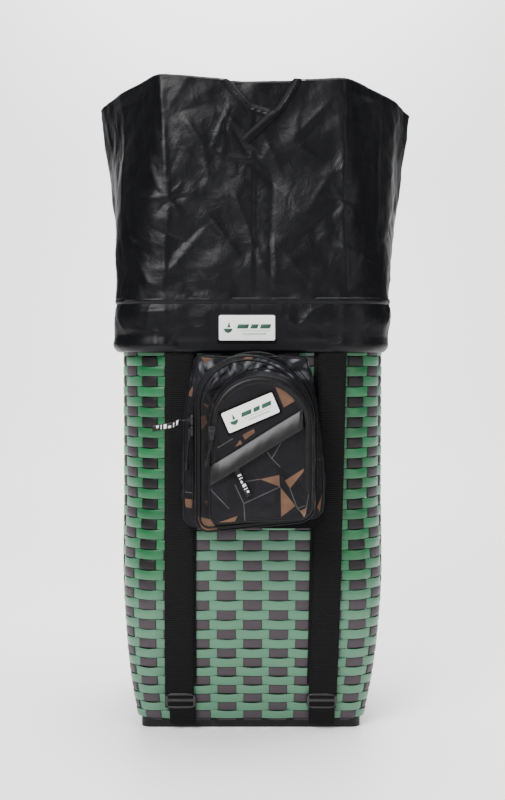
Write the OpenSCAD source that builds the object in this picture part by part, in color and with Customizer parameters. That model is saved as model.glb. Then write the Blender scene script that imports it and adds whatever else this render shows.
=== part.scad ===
// Arborist rope storage bag: a basket woven from plastic strip, with a fabric collar, two webbing
// shoulder straps and a zipped accessory pouch hung on the front.
// Millimetres. +Z up, front towards -Y, origin at the centre of the base's underside.

/* [Basket] */
// Half width of the basket wall at its fullest
basket_half_w = 172; // [160:1:190]
// Half depth of the basket wall at its fullest
basket_half_d = 150; // [140:1:165]
// Corner radius of the wall at its fullest
basket_corner_r = 80; // [70:1:90]
// Height below which the wall curves in towards the base
bulge_z = 230; // [200:5:240]
// Radius of that curve on the front and back walls
bulge_r_front = 1042; // [1000:1:1200]
// Radius of that curve on the side walls
bulge_r_side = 980; // [940:1:1200]
// Number of weft rows
weft_rows = 38; // [30:1:38]
// Height from one weft row to the next
weft_pitch = 13.7; // [13:0.1:13.7]
// Number of warp strips round the basket
warp_count = 34; // [30:2:34]
// Width of a warp strip
warp_w = 24; // [20:1:25]
// Thickness of the plastic strip
strip_t = 0.8; // [0.6:0.1:0.9]

/* [Base] */
// Half width of the base tray
base_half_w = 142; // [138:1:142]
// Half depth of the base tray
base_half_d = 121; // [116:1:121]
// Height of the tray's rim
base_rim_h = 12; // [8:1:12]
// Thickness of the tray
base_t = 2; // [1.5:0.5:3]

/* [Collar] */
// Bottom edge of the band
band_z = 494; // [494:1:500]
// Height of the band
band_h = 64; // [60:1:64]
// Corner radius of the band's outside
band_corner_r = 70; // [60:1:75]
// Height of the open rim at the front
rim_z = 842; // [780:1:850]
// How much lower the two side points of the rim are
side_drop = 18; // [0:1:25]
// Height of the hem tape
hem_h = 10; // [8:1:14]
// Thickness of the doubled collar fabric
fabric_t = 1.5; // [1:0.1:2]

/* [Straps] */
// Width of the shoulder webbing
web_w = 38; // [36:1:38]
// Thickness of the webbing
web_t = 1.4; // [1.2:0.1:1.4]
// Centre of the left strap
left_strap_x = -93; // [-98:1:-92]
// Centre of the right strap at its slider
right_strap_x = 91; // [88:1:94]
// Lean of the right strap, outwards going up
right_strap_lean = 1.3; // [0:0.1:1.5]
// Height of the strap sliders at rest
slider_z = 38; // [38:1:60]

/* [Pouch] */
// Radius of the main compartment's arched top
main_r = 76; // [74:1:76]
// Depth of the main compartment
main_d = 33; // [28:1:33]
// Radius of the front pocket's arched top
front_r = 64; // [60:1:64]
// Depth of the front pocket
front_d = 22; // [18:1:22]
// Depth of the rear compartment
rear_d = 20; // [16:1:20]
// Wall of the pouch shells
pouch_wall = 2; // [1.5:0.5:2.5]
// Tilt of the slanted flap
flap_tilt = 31.7; // [28:0.1:34]

/* [Hidden] */
$fn = 48;

fit_gap = 0.3;
running_gap = 0.05;
wall_z = base_t + fit_gap;                 // foot of the woven wall, on the base board
weft_foot_z = base_rim_h + 1;              // lowest weft row, clear of the tray's rim
weft_h = weft_pitch - 0.4;
warp_top_z = weft_foot_z + weft_rows * weft_pitch;
warp_inset = 2.7;                          // the warp lies this far inside the wall's nominal face
bulge_y = -basket_half_d + bulge_r_front;  // axis of the front wall's curve
tail_out = 1.9;                            // layers on the front wall, measured out from it
slider_bar_t = 1.1;
strap_out = tail_out + web_t + slider_bar_t + 0.8;   // leaves room for the slider's middle bar
hanger_out = strap_out + web_t + 2 * fit_gap;
pouch_out = hanger_out + web_t + fit_gap;
band_out = 9;
band_t = 2;
hoop_r = 3.5;
hoop_out = 4.6;
strap_top_z = 528;
strap_end_z = 30;
anchor_z = 7;
slider_h = 24;
slider_bar = 4;
slider_side = 3.4;
slider_gap = 0.6;
pouch_y = -basket_half_d - pouch_out;      // back of the pouch
panel_t = 2;
rear_y = pouch_y - panel_t;                // back of the rear compartment
main_y = rear_y - rear_d;
front_y = main_y - main_d;
face_y = front_y - front_d;                // front of the front pocket
hinge_z = 484;
main_x = 3;
main_z = 416;
main_foot_z = 269;
front_x = 10.5;
front_z = 402;
front_foot_z = 284;
coil_w = 6;
coil_t = 1.2;
main_coil_y = main_y - main_d * 0.4;
flap_x = 6.5;
flap_z = 379;
flap_w = 19;
flap_lift = 4.8;

// ---- the wall's outline ----
// Half width, half depth and corner radius of the wall at height z
function inward(r, z) = z < bulge_z ? r - sqrt(r * r - (bulge_z - z) * (bulge_z - z)) : 0;
function wall_a(z) = basket_half_w - inward(bulge_r_side, z);
function wall_b(z) = basket_half_d - inward(bulge_r_front, z);
function wall_r(z) = basket_corner_r - 54 * max(0, min(1, (300 - z) / 290));

// Rounded rectangle as points, anticlockwise
function corner_points(cx, cy, r, from, n) =
    [for (i = [0 : n]) [cx + r * cos(from + 90 * i / n), cy + r * sin(from + 90 * i / n)]];
function rounded(a, b, r, n = 8) = concat(
    corner_points(a - r, b - r, r, 0, n), corner_points(r - a, b - r, r, 90, n),
    corner_points(r - a, r - b, r, 180, n), corner_points(a - r, r - b, r, 270, n));

// Point of the rounded rectangle at distance s along it from the middle of the front, anticlockwise
function quarter(a, b, r) = (a - r) + (b - r) + PI * r / 2;
function on_quarter(a, b, r, s) =
    s < a - r ? [s, -b] :
    s < a - r + PI * r / 2 ? let(t = (s - a + r) / r * 180 / PI) [a - r + r * sin(t), r - b - r * cos(t)] :
    [a, r - b + s - (a - r) - PI * r / 2];
function on_wall(a, b, r, s) = let(q = quarter(a, b, r), m = (s % (4 * q) + 4 * q) % (4 * q))
    m < q ? on_quarter(a, b, r, m) :
    m < 2 * q ? let(p = on_quarter(a, b, r, 2 * q - m)) [p[0], -p[1]] :
    m < 3 * q ? let(p = on_quarter(a, b, r, m - 2 * q)) [-p[0], -p[1]] :
    let(p = on_quarter(a, b, r, 4 * q - m)) [-p[0], p[1]];

module ring(a, b, r, t, h, n = 8) {
    linear_extrude(h) difference() {
        polygon(rounded(a, b, r, n));
        polygon(rounded(a - t, b - t, r - t, n));
    }
}

// A closed tube of quads through rings of equal point counts
module loft(rings) {
    n = len(rings[0]);
    m = len(rings);
    polyhedron(
        [for (ring = rings) each ring],
        concat(
            [[for (i = [0 : n - 1]) i]],
            [for (j = [0 : m - 2]) for (i = [0 : n - 1])
                let(k = (i + 1) % n) each [[j * n + i, (j + 1) * n + i, (j + 1) * n + k], [j * n + i, (j + 1) * n + k, j * n + k]]],
            [[for (i = [n - 1 : -1 : 0]) (m - 1) * n + i]]));
}

// ---- base ----
module base_tray() {
    color([0.09, 0.09, 0.1]) difference() {
        linear_extrude(base_rim_h) polygon(rounded(base_half_w, base_half_d, 12));
        translate([0, 0, base_t])
            linear_extrude(base_rim_h) polygon(rounded(base_half_w - base_t, base_half_d - base_t, 10));
    }
}

module base_board() {
    color([0.14, 0.14, 0.15]) translate([0, 0, base_t])
        linear_extrude(3) polygon(rounded(base_half_w - 12, base_half_d - 12, 18));
}

// ---- woven wall ----
module weft_strips() {
    color([0.16, 0.5, 0.28]) for (i = [0 : weft_rows - 1]) {
        z = weft_foot_z + i * weft_pitch;
        mid = z + weft_h / 2;
        translate([0, 0, z]) ring(wall_a(mid), wall_b(mid), wall_r(mid), strip_t, weft_h);
    }
}

rim_clear_z = base_rim_h + fit_gap;
// Each strip is a curved lower length and a straight upper one, end to end behind a weft row
warp_lengths = [[base_t, rim_clear_z, base_rim_h + 2.5, 34, 60, 92, 130, 185], [185.2, bulge_z, 300, warp_top_z]];

function warp_section(k, z) =
    let(inset = warp_inset + (z <= rim_clear_z ? 5.4 : 0), zz = max(z, base_rim_h),
        a = wall_a(zz) - inset, b = wall_b(zz) - inset, r = wall_r(zz) - inset,
        s = 4 * quarter(a, b, r) * k / warp_count,
        p = on_wall(a, b, r, s - warp_w / 2), q = on_wall(a, b, r, s + warp_w / 2),
        d = (q - p) / norm(q - p), inner = strip_t * [-d[1], d[0]])
    [[p[0], p[1], z], [q[0], q[1], z], [q[0] + inner[0], q[1] + inner[1], z], [p[0] + inner[0], p[1] + inner[1], z]];

module warp_strips() {
    color([0.22, 0.19, 0.2]) for (k = [0 : warp_count - 1]) for (heights = warp_lengths)
        loft([for (z = heights) warp_section(k, z)]);
}

// ---- rim and collar ----
module hoop_corner(a, b, r, turn) {
    translate([a - r, b - r, 0]) rotate(turn) rotate_extrude(angle = 90) translate([r, 0]) circle(hoop_r);
}

module hoop_side(length) {
    rotate([90, 0, 0]) cylinder(r = hoop_r, h = length, center = true);
}

module rim_hoop() {
    a = basket_half_w + hoop_out;
    b = basket_half_d + hoop_out;
    r = basket_corner_r + hoop_out;
    color([0.12, 0.12, 0.12]) translate([0, 0, band_z + band_h - 12]) {
        for (sx = [-1, 1]) translate([sx * a, 0, 0]) hoop_side(2 * (b - r));
        for (sy = [-1, 1]) translate([0, sy * b, 0]) rotate(90) hoop_side(2 * (a - r));
        hoop_corner(a, b, r, 0);
        mirror([1, 0, 0]) hoop_corner(a, b, r, 0);
        mirror([0, 1, 0]) hoop_corner(a, b, r, 0);
        mirror([1, 0, 0]) mirror([0, 1, 0]) hoop_corner(a, b, r, 0);
    }
}

module collar_band() {
    out = band_out + band_t;
    color([0.07, 0.07, 0.08]) translate([0, 0, band_z])
        ring(basket_half_w + out, basket_half_d + out, band_corner_r, band_t, band_h);
}

// Rim of the collar at share f of the way round from the middle of the front: a flattened hexagon
rim_keys = [0, 0.1, 0.27, 0.4, 0.5, 0.6, 0.73, 0.9, 1];
rim_x = [0, 121, 219, 124, 0, -124, -213, -121, 0];
rim_y = [-140, -140, 36, 150, 150, 150, 36, -140, -140];
rim_low = [0, 0, 1, 0.1, 0, 0.1, 0.7, 0, 0];
function keyed(values, f) = lookup(f, [for (i = [0 : len(rim_keys) - 1]) [rim_keys[i], values[i]]]);

collar_points = 40;
hem_foot = 1 - hem_h / (rim_z - band_z - band_h);   // share of the collar's height where the hem starts
function collar_shares() = [for (i = [0 : collar_points - 1]) i / collar_points];
function collar_point(f, v, out) =
    let(a = basket_half_w + 10 + out, b = basket_half_d + 10 + out, r = band_corner_r - 1 + out,
        low = on_wall(a, b, r, 4 * quarter(a, b, r) * f),
        top = [keyed(rim_x, f), keyed(rim_y, f)],
        top_out = top * (1 + out / norm(top)),
        foot = band_z + band_h, head = rim_z - side_drop * keyed(rim_low, f))
    [low[0] + (top_out[0] - low[0]) * v, low[1] + (top_out[1] - low[1]) * v, foot + (head - foot) * v];

module collar_wall(levels, out, t) {
    n = collar_points;
    m = len(levels);
    shell = [for (side = [0, 1]) for (v = levels) for (f = collar_shares()) collar_point(f, v, out - side * t)];
    function at(side, j, i) = side * n * m + j * n + (i % n);
    polyhedron(shell, [for (i = [0 : n - 1]) each concat(
        [for (j = [0 : m - 2]) each [
            [at(0, j, i), at(0, j + 1, i), at(0, j + 1, i + 1)], [at(0, j, i), at(0, j + 1, i + 1), at(0, j, i + 1)],
            [at(1, j, i), at(1, j + 1, i + 1), at(1, j + 1, i)], [at(1, j, i), at(1, j, i + 1), at(1, j + 1, i + 1)]]],
        [[at(0, 0, i), at(0, 0, i + 1), at(1, 0, i + 1)], [at(0, 0, i), at(1, 0, i + 1), at(1, 0, i)],
         [at(0, m - 1, i), at(1, m - 1, i + 1), at(0, m - 1, i + 1)],
         [at(0, m - 1, i), at(1, m - 1, i), at(1, m - 1, i + 1)]])]);
}

module collar_sleeve() {
    color([0.06, 0.06, 0.07]) collar_wall([0, 0.25, 0.5, 0.75, hem_foot, 1], 1, fabric_t);
}

module collar_hem() {
    color([0.03, 0.03, 0.04])
        collar_wall([hem_foot, 1], 1 + fabric_t + 3 * fit_gap, fabric_t);
}

module patch(w, h, t, corner) {
    rotate([90, 0, 0]) linear_extrude(t) polygon(rounded(w / 2, h / 2, corner, 4));
}

module band_patch_backing() {
    color([0.05, 0.05, 0.06])
        translate([-7, -basket_half_d - band_out - band_t, 523]) patch(76, 39, 1.2, 2);
}

module band_patch() {
    color([0.88, 0.88, 0.86])
        translate([-7, -basket_half_d - band_out - band_t - 1.2, 524]) patch(71, 32, 1.2, 2);
}

// ---- straps ----
// Webbing on the front wall: straight above bulge_z and round the wall's own curve below it
function wall_curve(r, z) = [bulge_y - sqrt(r * r - pow(max(0, bulge_z - z), 2)), z];
module webbing(x, out, t, w, z0, z1, steps = 24) {
    r = bulge_r_front + out;
    zs = concat([for (i = [0 : steps]) z0 + (min(z1, bulge_z) - z0) * i / steps], z1 > bulge_z ? [z1] : []);
    n = len(zs);
    translate([x - w / 2, 0, 0]) rotate([90, 0, 90]) linear_extrude(w)
        polygon(concat([for (z = zs) wall_curve(r, z)], [for (i = [n - 1 : -1 : 0]) wall_curve(r + t, zs[i])]));
}

// A slider round the webbing: two bars in front of it, one behind it, and rails at its sides
module strap_slider(x) {
    r = bulge_r_front + strap_out;
    turn = asin((bulge_z - slider_z) / r);
    w = web_w + 2 * slider_gap + 2 * slider_side;
    bar_y = -web_t - 0.4 - slider_bar / 2;
    back_y = 0.4 + slider_bar_t;
    rail_d = back_y - bar_y + slider_bar / 2;
    color([0.1, 0.1, 0.11]) translate([x, bulge_y, bulge_z]) rotate([turn, 0, 0]) translate([0, -r, 0]) {
        for (sx = [-1, 1]) translate([sx * (w - slider_side) / 2, back_y - rail_d / 2, 0])
            cube([slider_side, rail_d, slider_h], center = true);
        for (sz = [-1, 1]) translate([0, bar_y, sz * (slider_h - slider_bar) / 2]) rotate([0, 90, 0])
            cylinder(d = slider_bar, h = w - 1, center = true);
        translate([0, back_y - slider_bar_t / 2, 0]) cube([w - 1, slider_bar_t, slider_bar], center = true);
    }
}

module strap(x) {
    color([0.07, 0.07, 0.07]) webbing(x, strap_out, web_t, web_w, strap_end_z, strap_top_z);
}

module strap_tail(x, shift) {
    color([0.06, 0.06, 0.06]) webbing(x + shift, tail_out, web_t, web_w - 2, strap_end_z + 32, strap_top_z);
}

module strap_anchor(x, shift) {
    color([0.06, 0.06, 0.06]) webbing(x + shift, strap_out, web_t, web_w - 6, anchor_z, strap_end_z - 0.2);
}

module leaning() {
    translate([right_strap_x, 0, slider_z]) rotate([0, right_strap_lean, 0])
        translate([-right_strap_x, 0, -slider_z]) children();
}

// ---- pouch ----
// Arched outline: a half round on straight legs with rounded lower corners
module arch(r, legs, corner) {
    circle(r);
    difference() {
        translate([-r, -legs]) square([2 * r, legs]);
        for (sx = [-1, 1]) translate([sx * r, -legs]) difference() {
            translate([-corner, -corner]) square(2 * corner);
            translate([-sx * corner, corner]) circle(corner);
        }
    }
}

module upright(x, y, z, d) {
    translate([x, y, z]) rotate([90, 0, 0]) linear_extrude(d) children();
}

module shell(x, y, z, d, r, legs, corner) {
    difference() {
        upright(x, y, z, d) arch(r, legs, corner);
        upright(x, y + 1, z, d + 1 - pouch_wall) arch(r - pouch_wall, legs - pouch_wall, corner - pouch_wall);
    }
}

module rear_outline(inset = 0) {
    polygon([[-87 + inset, 280 + inset], [-75 + inset, 268 + inset], [83 - inset, 268 + inset], [90 - inset, 276 + inset],
        [90 - inset, 355], [86 - inset, 392], [75 - inset, 439], [67 - inset, 477], [62 - inset, hinge_z - inset],
        [-62 + inset, hinge_z - inset], [-68 + inset, 477], [-77 + inset, 452], [-84 + inset, 436], [-87 + inset, 405]]);
}

module pouch_hangers() {
    color([0.07, 0.07, 0.08]) for (x = [-48, 50])
        translate([x - 10, -basket_half_d - hanger_out - web_t, hinge_z - 8]) cube([20, web_t, 50]);
}

module pouch_back_panel() {
    color([0.08, 0.08, 0.09]) upright(0, pouch_y, 0, panel_t) rear_outline();
}

module pouch_rear_shell() {
    color([0.1, 0.09, 0.1]) difference() {
        upright(0, rear_y, 0, rear_d) rear_outline();
        upright(0, rear_y + 1, 0, rear_d + 1 - pouch_wall) rear_outline(pouch_wall);
    }
}

module pouch_main_shell() {
    color([0.11, 0.1, 0.11]) shell(main_x, main_y, main_z, main_d, main_r, main_z - main_foot_z, 20);
}

module pouch_front_shell() {
    color([0.12, 0.11, 0.12]) shell(front_x, front_y, front_z, front_d, front_r, front_z - front_foot_z, 14);
}

// A coil of zip round an arch, ending on its legs at heights left and right
module arch_coil(r, t, d, left, right) {
    upright(0, 0, 0, d) difference() {
        union() {
            circle(r + t);
            translate([-r - t, -left]) square([r + t, left]);
            translate([0, -right]) square([r + t, right]);
        }
        circle(r);
        translate([-r, -300]) square([2 * r, 300]);
        translate([-r - t - 1, -300]) square([r + t + 1, 300 - left]);
        translate([0, -300]) square([r + t + 1, 300 - right]);
    }
}

module main_zip_coil() {
    color([0.05, 0.05, 0.05]) translate([main_x, main_coil_y + coil_w / 2, main_z])
        arch_coil(main_r, coil_t, coil_w, 118, 90);
}

module front_zip_coil() {
    color([0.05, 0.05, 0.05]) translate([front_x, face_y, front_z])
        arch_coil(front_r - coil_w - 1, coil_w, coil_t, 60, 80);
}

module slanted(x, y, z) {
    translate([x, y, z]) rotate([0, -flap_tilt, 0]) children();
}

module slant_zip_coil() {
    color([0.04, 0.04, 0.04]) slanted(flap_x, face_y - coil_t / 2, flap_z)
        translate([0, 0, -flap_w / 2 + 5]) cube([118, coil_t, coil_w], center = true);
}

module slant_flap() {
    color([0.13, 0.13, 0.14]) intersection() {
        union() {
            slanted(flap_x, face_y - flap_lift - 0.7, flap_z) cube([170, 1.4, flap_w], center = true);
            slanted(flap_x, face_y - flap_lift / 2 - 0.2, flap_z)
                translate([0, 0, flap_w / 2 - 1]) cube([170, flap_lift + 0.4, 2], center = true);
        }
        upright(front_x, face_y, front_z, flap_lift + 1.4) arch(front_r - coil_w - 4, front_z - front_foot_z - 2, 10);
    }
}

module pouch_patch_backing() {
    color([0.04, 0.04, 0.05]) translate([-2.5, face_y, 420]) rotate([0, -23, 0]) patch(72, 31, 1.2, 2);
}

module pouch_patch() {
    color([0.88, 0.88, 0.86]) translate([-2.5, face_y - 1.2, 420]) rotate([0, -23, 0]) patch(67, 26, 1.2, 2);
}

// ---- zip sliders and their pulls: travel along Z, outward side towards -Y ----
pin_r = 1;
pin_out = 4.4;
module zip_slider() {
    difference() {
        union() {
            translate([0, -1.3, 0]) rotate([90, 0, 0]) linear_extrude(2.6, center = true)
                polygon([[-3, -6], [3, -6], [4.4, 0], [4.4, 3.5], [2.6, 6], [-2.6, 6], [-4.4, 3.5], [-4.4, 0]]);
            translate([0, -pin_out + 0.7, 0]) cube([1.8, 4.2, 6], center = true);
        }
        translate([0, -pin_out, 0]) rotate([0, 90, 0]) cylinder(r = pin_r + running_gap, h = 6, center = true);
    }
}

// Tab hanging from its pin, which is at the origin
module pull_tab(length, w = 5.6) {
    rotate([0, 90, 0]) cylinder(r = pin_r, h = w, center = true);
    for (sx = [-1, 1]) translate([sx * (w / 2 - 0.7), 0, -2.2]) cube([1.4, 1.6, 4.4], center = true);
    translate([0, 0, -4.3 - (length - 4.3) / 2]) cube([w, 1.6, length - 4.3], center = true);
}

module pull_tape(start, length, w = 7) {
    translate([0, 0, -start - length / 2]) cube([w, 1.2, length], center = true);
    translate([0, 0, -start - 2.5]) cube([w + 0.8, 2.4, 5], center = true);
}

module pull_grip(start, length) {
    translate([0, 0, -start - length]) cylinder(r = 1.3, h = length);
    translate([0, 0, -start - length - 9]) cylinder(r1 = 2.2, r2 = 2.6, h = 10);
}

main_seat = main_r + coil_t + 0.25;
upper_zip_z = main_z - 7;
lower_zip_z = upper_zip_z - 14;
module at_main_leg(z) { translate([main_x - main_seat, main_coil_y, z]) rotate([0, 0, -90]) children(); }
module at_main_pin(z, swing) { at_main_leg(z) translate([0, -pin_out, 0]) rotate([swing, 0, 0]) children(); }

module main_upper_zip_slider() { color([0.2, 0.2, 0.21]) at_main_leg(upper_zip_z) zip_slider(); }
module main_upper_pull_tab() { color([0.2, 0.2, 0.21]) at_main_pin(upper_zip_z, -86) pull_tab(11); }
module main_upper_pull_tape() { color([0.05, 0.05, 0.05]) at_main_pin(upper_zip_z, -86) rotate(90) pull_tape(11, 36); }
module main_lower_zip_slider() { color([0.2, 0.2, 0.21]) at_main_leg(lower_zip_z) zip_slider(); }
module main_lower_pull_tab() { color([0.2, 0.2, 0.21]) at_main_pin(lower_zip_z, -4) pull_tab(12); }
module main_lower_pull_grip() { color([0.05, 0.05, 0.05]) at_main_pin(lower_zip_z, -4) pull_grip(12, 29); }

front_zip_r = front_r - coil_w / 2 - 1;
module at_front_leg() { translate([front_x - front_zip_r, face_y - coil_t - 0.25, front_z - 4]) children(); }
module at_front_pin() { at_front_leg() translate([0, -pin_out, 0]) rotate([-3, 0, 0]) children(); }
module front_zip_slider() { color([0.2, 0.2, 0.21]) at_front_leg() zip_slider(); }
module front_pull_tab() { color([0.2, 0.2, 0.21]) at_front_pin() pull_tab(11); }
module front_pull_grip() { color([0.05, 0.05, 0.05]) at_front_pin() translate([0, 0, -11.4]) rotate([0, 13, 0]) pull_grip(0, 24); }

// The slanted zip's slider runs under the flap, with its pull swinging on a rivet and hanging out below
slant_along = -36;
slant_hang = 6;
module at_slant() {
    slanted(flap_x, face_y - coil_t - 0.25, flap_z) translate([slant_along, 0, -flap_w / 2 + 5]) children();
}
module slant_zip_slider() {
    color([0.2, 0.2, 0.21]) at_slant() {
        translate([0, -0.6, 0]) cube([11, 1.2, 8], center = true);
        translate([0, -1, 0]) rotate([90, 0, 0]) cylinder(r = 0.8, h = 1.4);
        translate([0, -2.35, 0]) rotate([90, 0, 0]) cylinder(r = 1.7, h = 0.6);
    }
}
module at_slant_pin() { at_slant() translate([0, -1.3, 0]) rotate([0, slant_hang, 0]) children(); }
module slant_pull_tab() {
    color([0.2, 0.2, 0.21]) at_slant_pin() rotate([90, 0, 0]) linear_extrude(1) difference() {
        union() {
            circle(2.8);
            translate([-2.8, -9]) square([5.6, 9]);
        }
        circle(0.8 + running_gap);
    }
}
module slant_pull_tape() {
    color([0.05, 0.05, 0.05]) at_slant_pin() translate([0, -0.5, 0]) translate([0, 0, -9 - 16]) cube([6.4, 1, 32], center = true);
}

base_tray();
base_board();
weft_strips();
warp_strips();
rim_hoop();
collar_band();
collar_sleeve();
collar_hem();
band_patch_backing();
band_patch();
strap(left_strap_x);  // left_strap
strap_tail(left_strap_x, 4);  // left_strap_tail
strap_anchor(left_strap_x, 3);  // left_strap_anchor
strap_slider(left_strap_x);  // left_strap_slider
leaning() strap(right_strap_x);  // right_strap
leaning() strap_tail(right_strap_x, -6);  // right_strap_tail
leaning() strap_anchor(right_strap_x, -3);  // right_strap_anchor
leaning() strap_slider(right_strap_x);  // right_strap_slider
pouch_hangers();
pouch_back_panel();
pouch_rear_shell();
pouch_main_shell();
pouch_front_shell();
main_zip_coil();
front_zip_coil();
slant_zip_coil();
slant_flap();
pouch_patch_backing();
pouch_patch();
main_upper_zip_slider();
main_upper_pull_tab();
main_upper_pull_tape();
main_lower_zip_slider();
main_lower_pull_tab();
main_lower_pull_grip();
front_zip_slider();
front_pull_tab();
front_pull_grip();
slant_zip_slider();
slant_pull_tab();
slant_pull_tape();
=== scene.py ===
import math
import bpy
import numpy as np
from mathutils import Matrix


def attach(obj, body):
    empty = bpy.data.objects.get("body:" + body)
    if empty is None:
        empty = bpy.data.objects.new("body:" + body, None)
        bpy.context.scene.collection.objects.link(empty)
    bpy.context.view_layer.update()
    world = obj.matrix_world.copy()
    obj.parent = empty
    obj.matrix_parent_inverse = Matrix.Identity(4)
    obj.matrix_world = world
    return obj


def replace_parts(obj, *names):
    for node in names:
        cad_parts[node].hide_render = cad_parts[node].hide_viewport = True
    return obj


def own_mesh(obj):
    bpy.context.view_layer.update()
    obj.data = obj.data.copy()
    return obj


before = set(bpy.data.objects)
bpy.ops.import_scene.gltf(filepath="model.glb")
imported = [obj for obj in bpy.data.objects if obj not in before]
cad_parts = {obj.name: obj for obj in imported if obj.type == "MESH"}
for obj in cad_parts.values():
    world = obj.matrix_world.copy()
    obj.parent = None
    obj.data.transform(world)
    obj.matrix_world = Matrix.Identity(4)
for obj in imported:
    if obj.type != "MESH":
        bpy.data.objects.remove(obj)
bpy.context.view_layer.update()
mm = 0.001


def buildMesh(name, points, wrapRows=False, wrapCols=False, uv=None, tone=None, material=None, flip=None,
              body=None):
    # points is (surfaces, rows, cols, 3) or (rows, cols, 3) in metres
    points = np.asarray(points, float)
    if points.ndim == 3:
        points = points[None]
    count, rows, cols = points.shape[:3]
    index = np.arange(count * rows * cols).reshape(count, rows, cols)
    if wrapRows:
        index = np.concatenate([index, index[:, :1]], 1)
    if wrapCols:
        index = np.concatenate([index, index[:, :, :1]], 2)
    corners = lambda grid: np.stack([grid[:, :-1, :-1], grid[:, :-1, 1:], grid[:, 1:, 1:],
                                     grid[:, 1:, :-1]], -1)
    quads = corners(index).reshape(-1, 4)
    flat = points.reshape(-1, 3)
    if flip is None:   # closed pieces: the signed volume says which way the faces point
        a, b, c, d = (flat[quads[:, i]] for i in range(4))
        flip = (np.cross(a - flat.mean(0), b - flat.mean(0)) * (c - flat.mean(0))).sum() + (
            np.cross(a - flat.mean(0), c - flat.mean(0)) * (d - flat.mean(0))).sum() < 0
    order = [0, 3, 2, 1] if flip else [0, 1, 2, 3]
    quads = quads[:, order]
    mesh = bpy.data.meshes.new(name)
    mesh.vertices.add(len(flat))
    mesh.vertices.foreach_set("co", flat.astype(np.float32).ravel())
    mesh.loops.add(quads.size)
    mesh.loops.foreach_set("vertex_index", quads.astype(np.int32).ravel())
    mesh.polygons.add(len(quads))
    mesh.polygons.foreach_set("loop_start", np.arange(0, quads.size, 4, dtype=np.int32))
    mesh.update(calc_edges=True)
    mesh.polygons.foreach_set("use_smooth", np.ones(len(quads), bool))
    if uv is not None:
        uv = np.asarray(uv, float)
        if uv.ndim == 3:
            uv = np.broadcast_to(uv, (count,) + uv.shape)
        layer = mesh.uv_layers.new(name="UVMap")
        parts = [corners(uv[..., axis]).reshape(-1, 4)[:, order] for axis in (0, 1)]
        layer.data.foreach_set("uv", np.stack(parts, -1).astype(np.float32).ravel())
    if tone is not None:
        values = np.broadcast_to(np.asarray(tone, float), points.shape[:3]).astype(np.float32)
        mesh.attributes.new("tone", "FLOAT", "POINT").data.foreach_set("value", values.ravel())
    mesh.validate()
    made = bpy.data.objects.new(name, mesh)
    bpy.context.scene.collection.objects.link(made)
    if material:
        mesh.materials.append(material)
    if body:
        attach(made, body)
    return made


def thicken(made, thickness):
    # Cloth of a thickness in mm, laid inside the surface
    cloth = made.modifiers.new("cloth", "SOLIDIFY")
    cloth.thickness, cloth.offset = thickness * mm, -1


def unit(vectors):
    return vectors / np.linalg.norm(vectors, axis=-1, keepdims=True)


def tube(path, radius, sides=10, closed=False):
    # Points of a round tube along a path, with the frame carried from point to point by projection
    path = np.asarray(path, float)
    if closed:
        tangent = np.roll(path, -1, 0) - np.roll(path, 1, 0)
    else:
        tangent = np.gradient(path, axis=0)
    tangent = unit(tangent)
    up = np.array([0.0, 1.0, 0.0]) if abs(tangent[:, 1]).max() < 0.9 else np.array([0.31, 0.2, 0.93])
    side = unit(np.cross(tangent, up))
    lift = np.cross(side, tangent)
    angle = np.linspace(0, 2 * np.pi, sides, endpoint=False)
    radius = np.broadcast_to(radius, len(path))[:, None, None]
    return (path[:, None] + radius * (np.cos(angle)[None, :, None] * side[:, None]
                                      + np.sin(angle)[None, :, None] * lift[:, None]))


def resample(path, count, closed=False):
    # The same line as count points, evenly spaced along it
    path = np.asarray(path, float)
    if closed:
        path = np.concatenate([path, path[:1]])
    along = np.concatenate([[0], np.cumsum(np.linalg.norm(np.diff(path, axis=0), axis=1))])
    at = np.linspace(0, along[-1], count, endpoint=not closed)
    return np.stack([np.interp(at, along, path[:, axis]) for axis in range(path.shape[1])], -1)


def smoothStep(value, low, high):
    share = np.clip((value - low) / (high - low), 0, 1)
    return share * share * (3 - 2 * share)


def creaseField(u, h, creases):
    # Sum of ridges, each amplitude * exp(-distance to its segment / width), fading towards its ends
    total = np.zeros(np.broadcast(u, h).shape)
    for x0, y0, x1, y1, height, width in creases:
        dx, dy = x1 - x0, y1 - y0
        size = dx * dx + dy * dy
        t = np.clip(((u - x0) * dx + (h - y0) * dy) / size, 0, 1)
        gap = np.hypot(u - x0 - t * dx, h - y0 - t * dy)
        total += height * np.exp(-gap / width) * (0.35 + 0.65 * np.sin(np.pi * np.clip(t, 0.04, 0.96)))
    return total


def randomCreases(seed, count, low, high, length, height, width):
    # Creases of random place and slant inside a box, as rows for creaseField
    random = np.random.default_rng(seed)
    centre = random.uniform(low, high, (count, 2))
    turn = random.uniform(0, np.pi, count)
    half = random.uniform(*length, count) / 2
    step = np.stack([np.cos(turn), np.sin(turn)], -1) * half[:, None]
    heights = random.uniform(*height, count) * random.choice([-1, 1], count)
    return np.concatenate([centre - step, centre + step, heights[:, None],
                           random.uniform(*width, (count, 1))], 1)


def softNoise(x, y, scale, seed, octaves=3):
    # Smooth random heights from summed sine products, about -1 to 1
    random = np.random.default_rng(seed)
    total = np.zeros(np.broadcast(x, y).shape)
    for octave in range(octaves):
        for turn, shift, other in random.uniform(0, 2 * np.pi, (4, 3)):
            wave = 2 ** octave / scale * 2 * np.pi
            across = x * math.cos(turn) + y * math.sin(turn)
            along = y * math.cos(turn) - x * math.sin(turn)
            total += np.sin(across * wave + shift) * np.cos(along * wave * 0.7 + other) / 2 ** octave / 4
    return total


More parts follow.
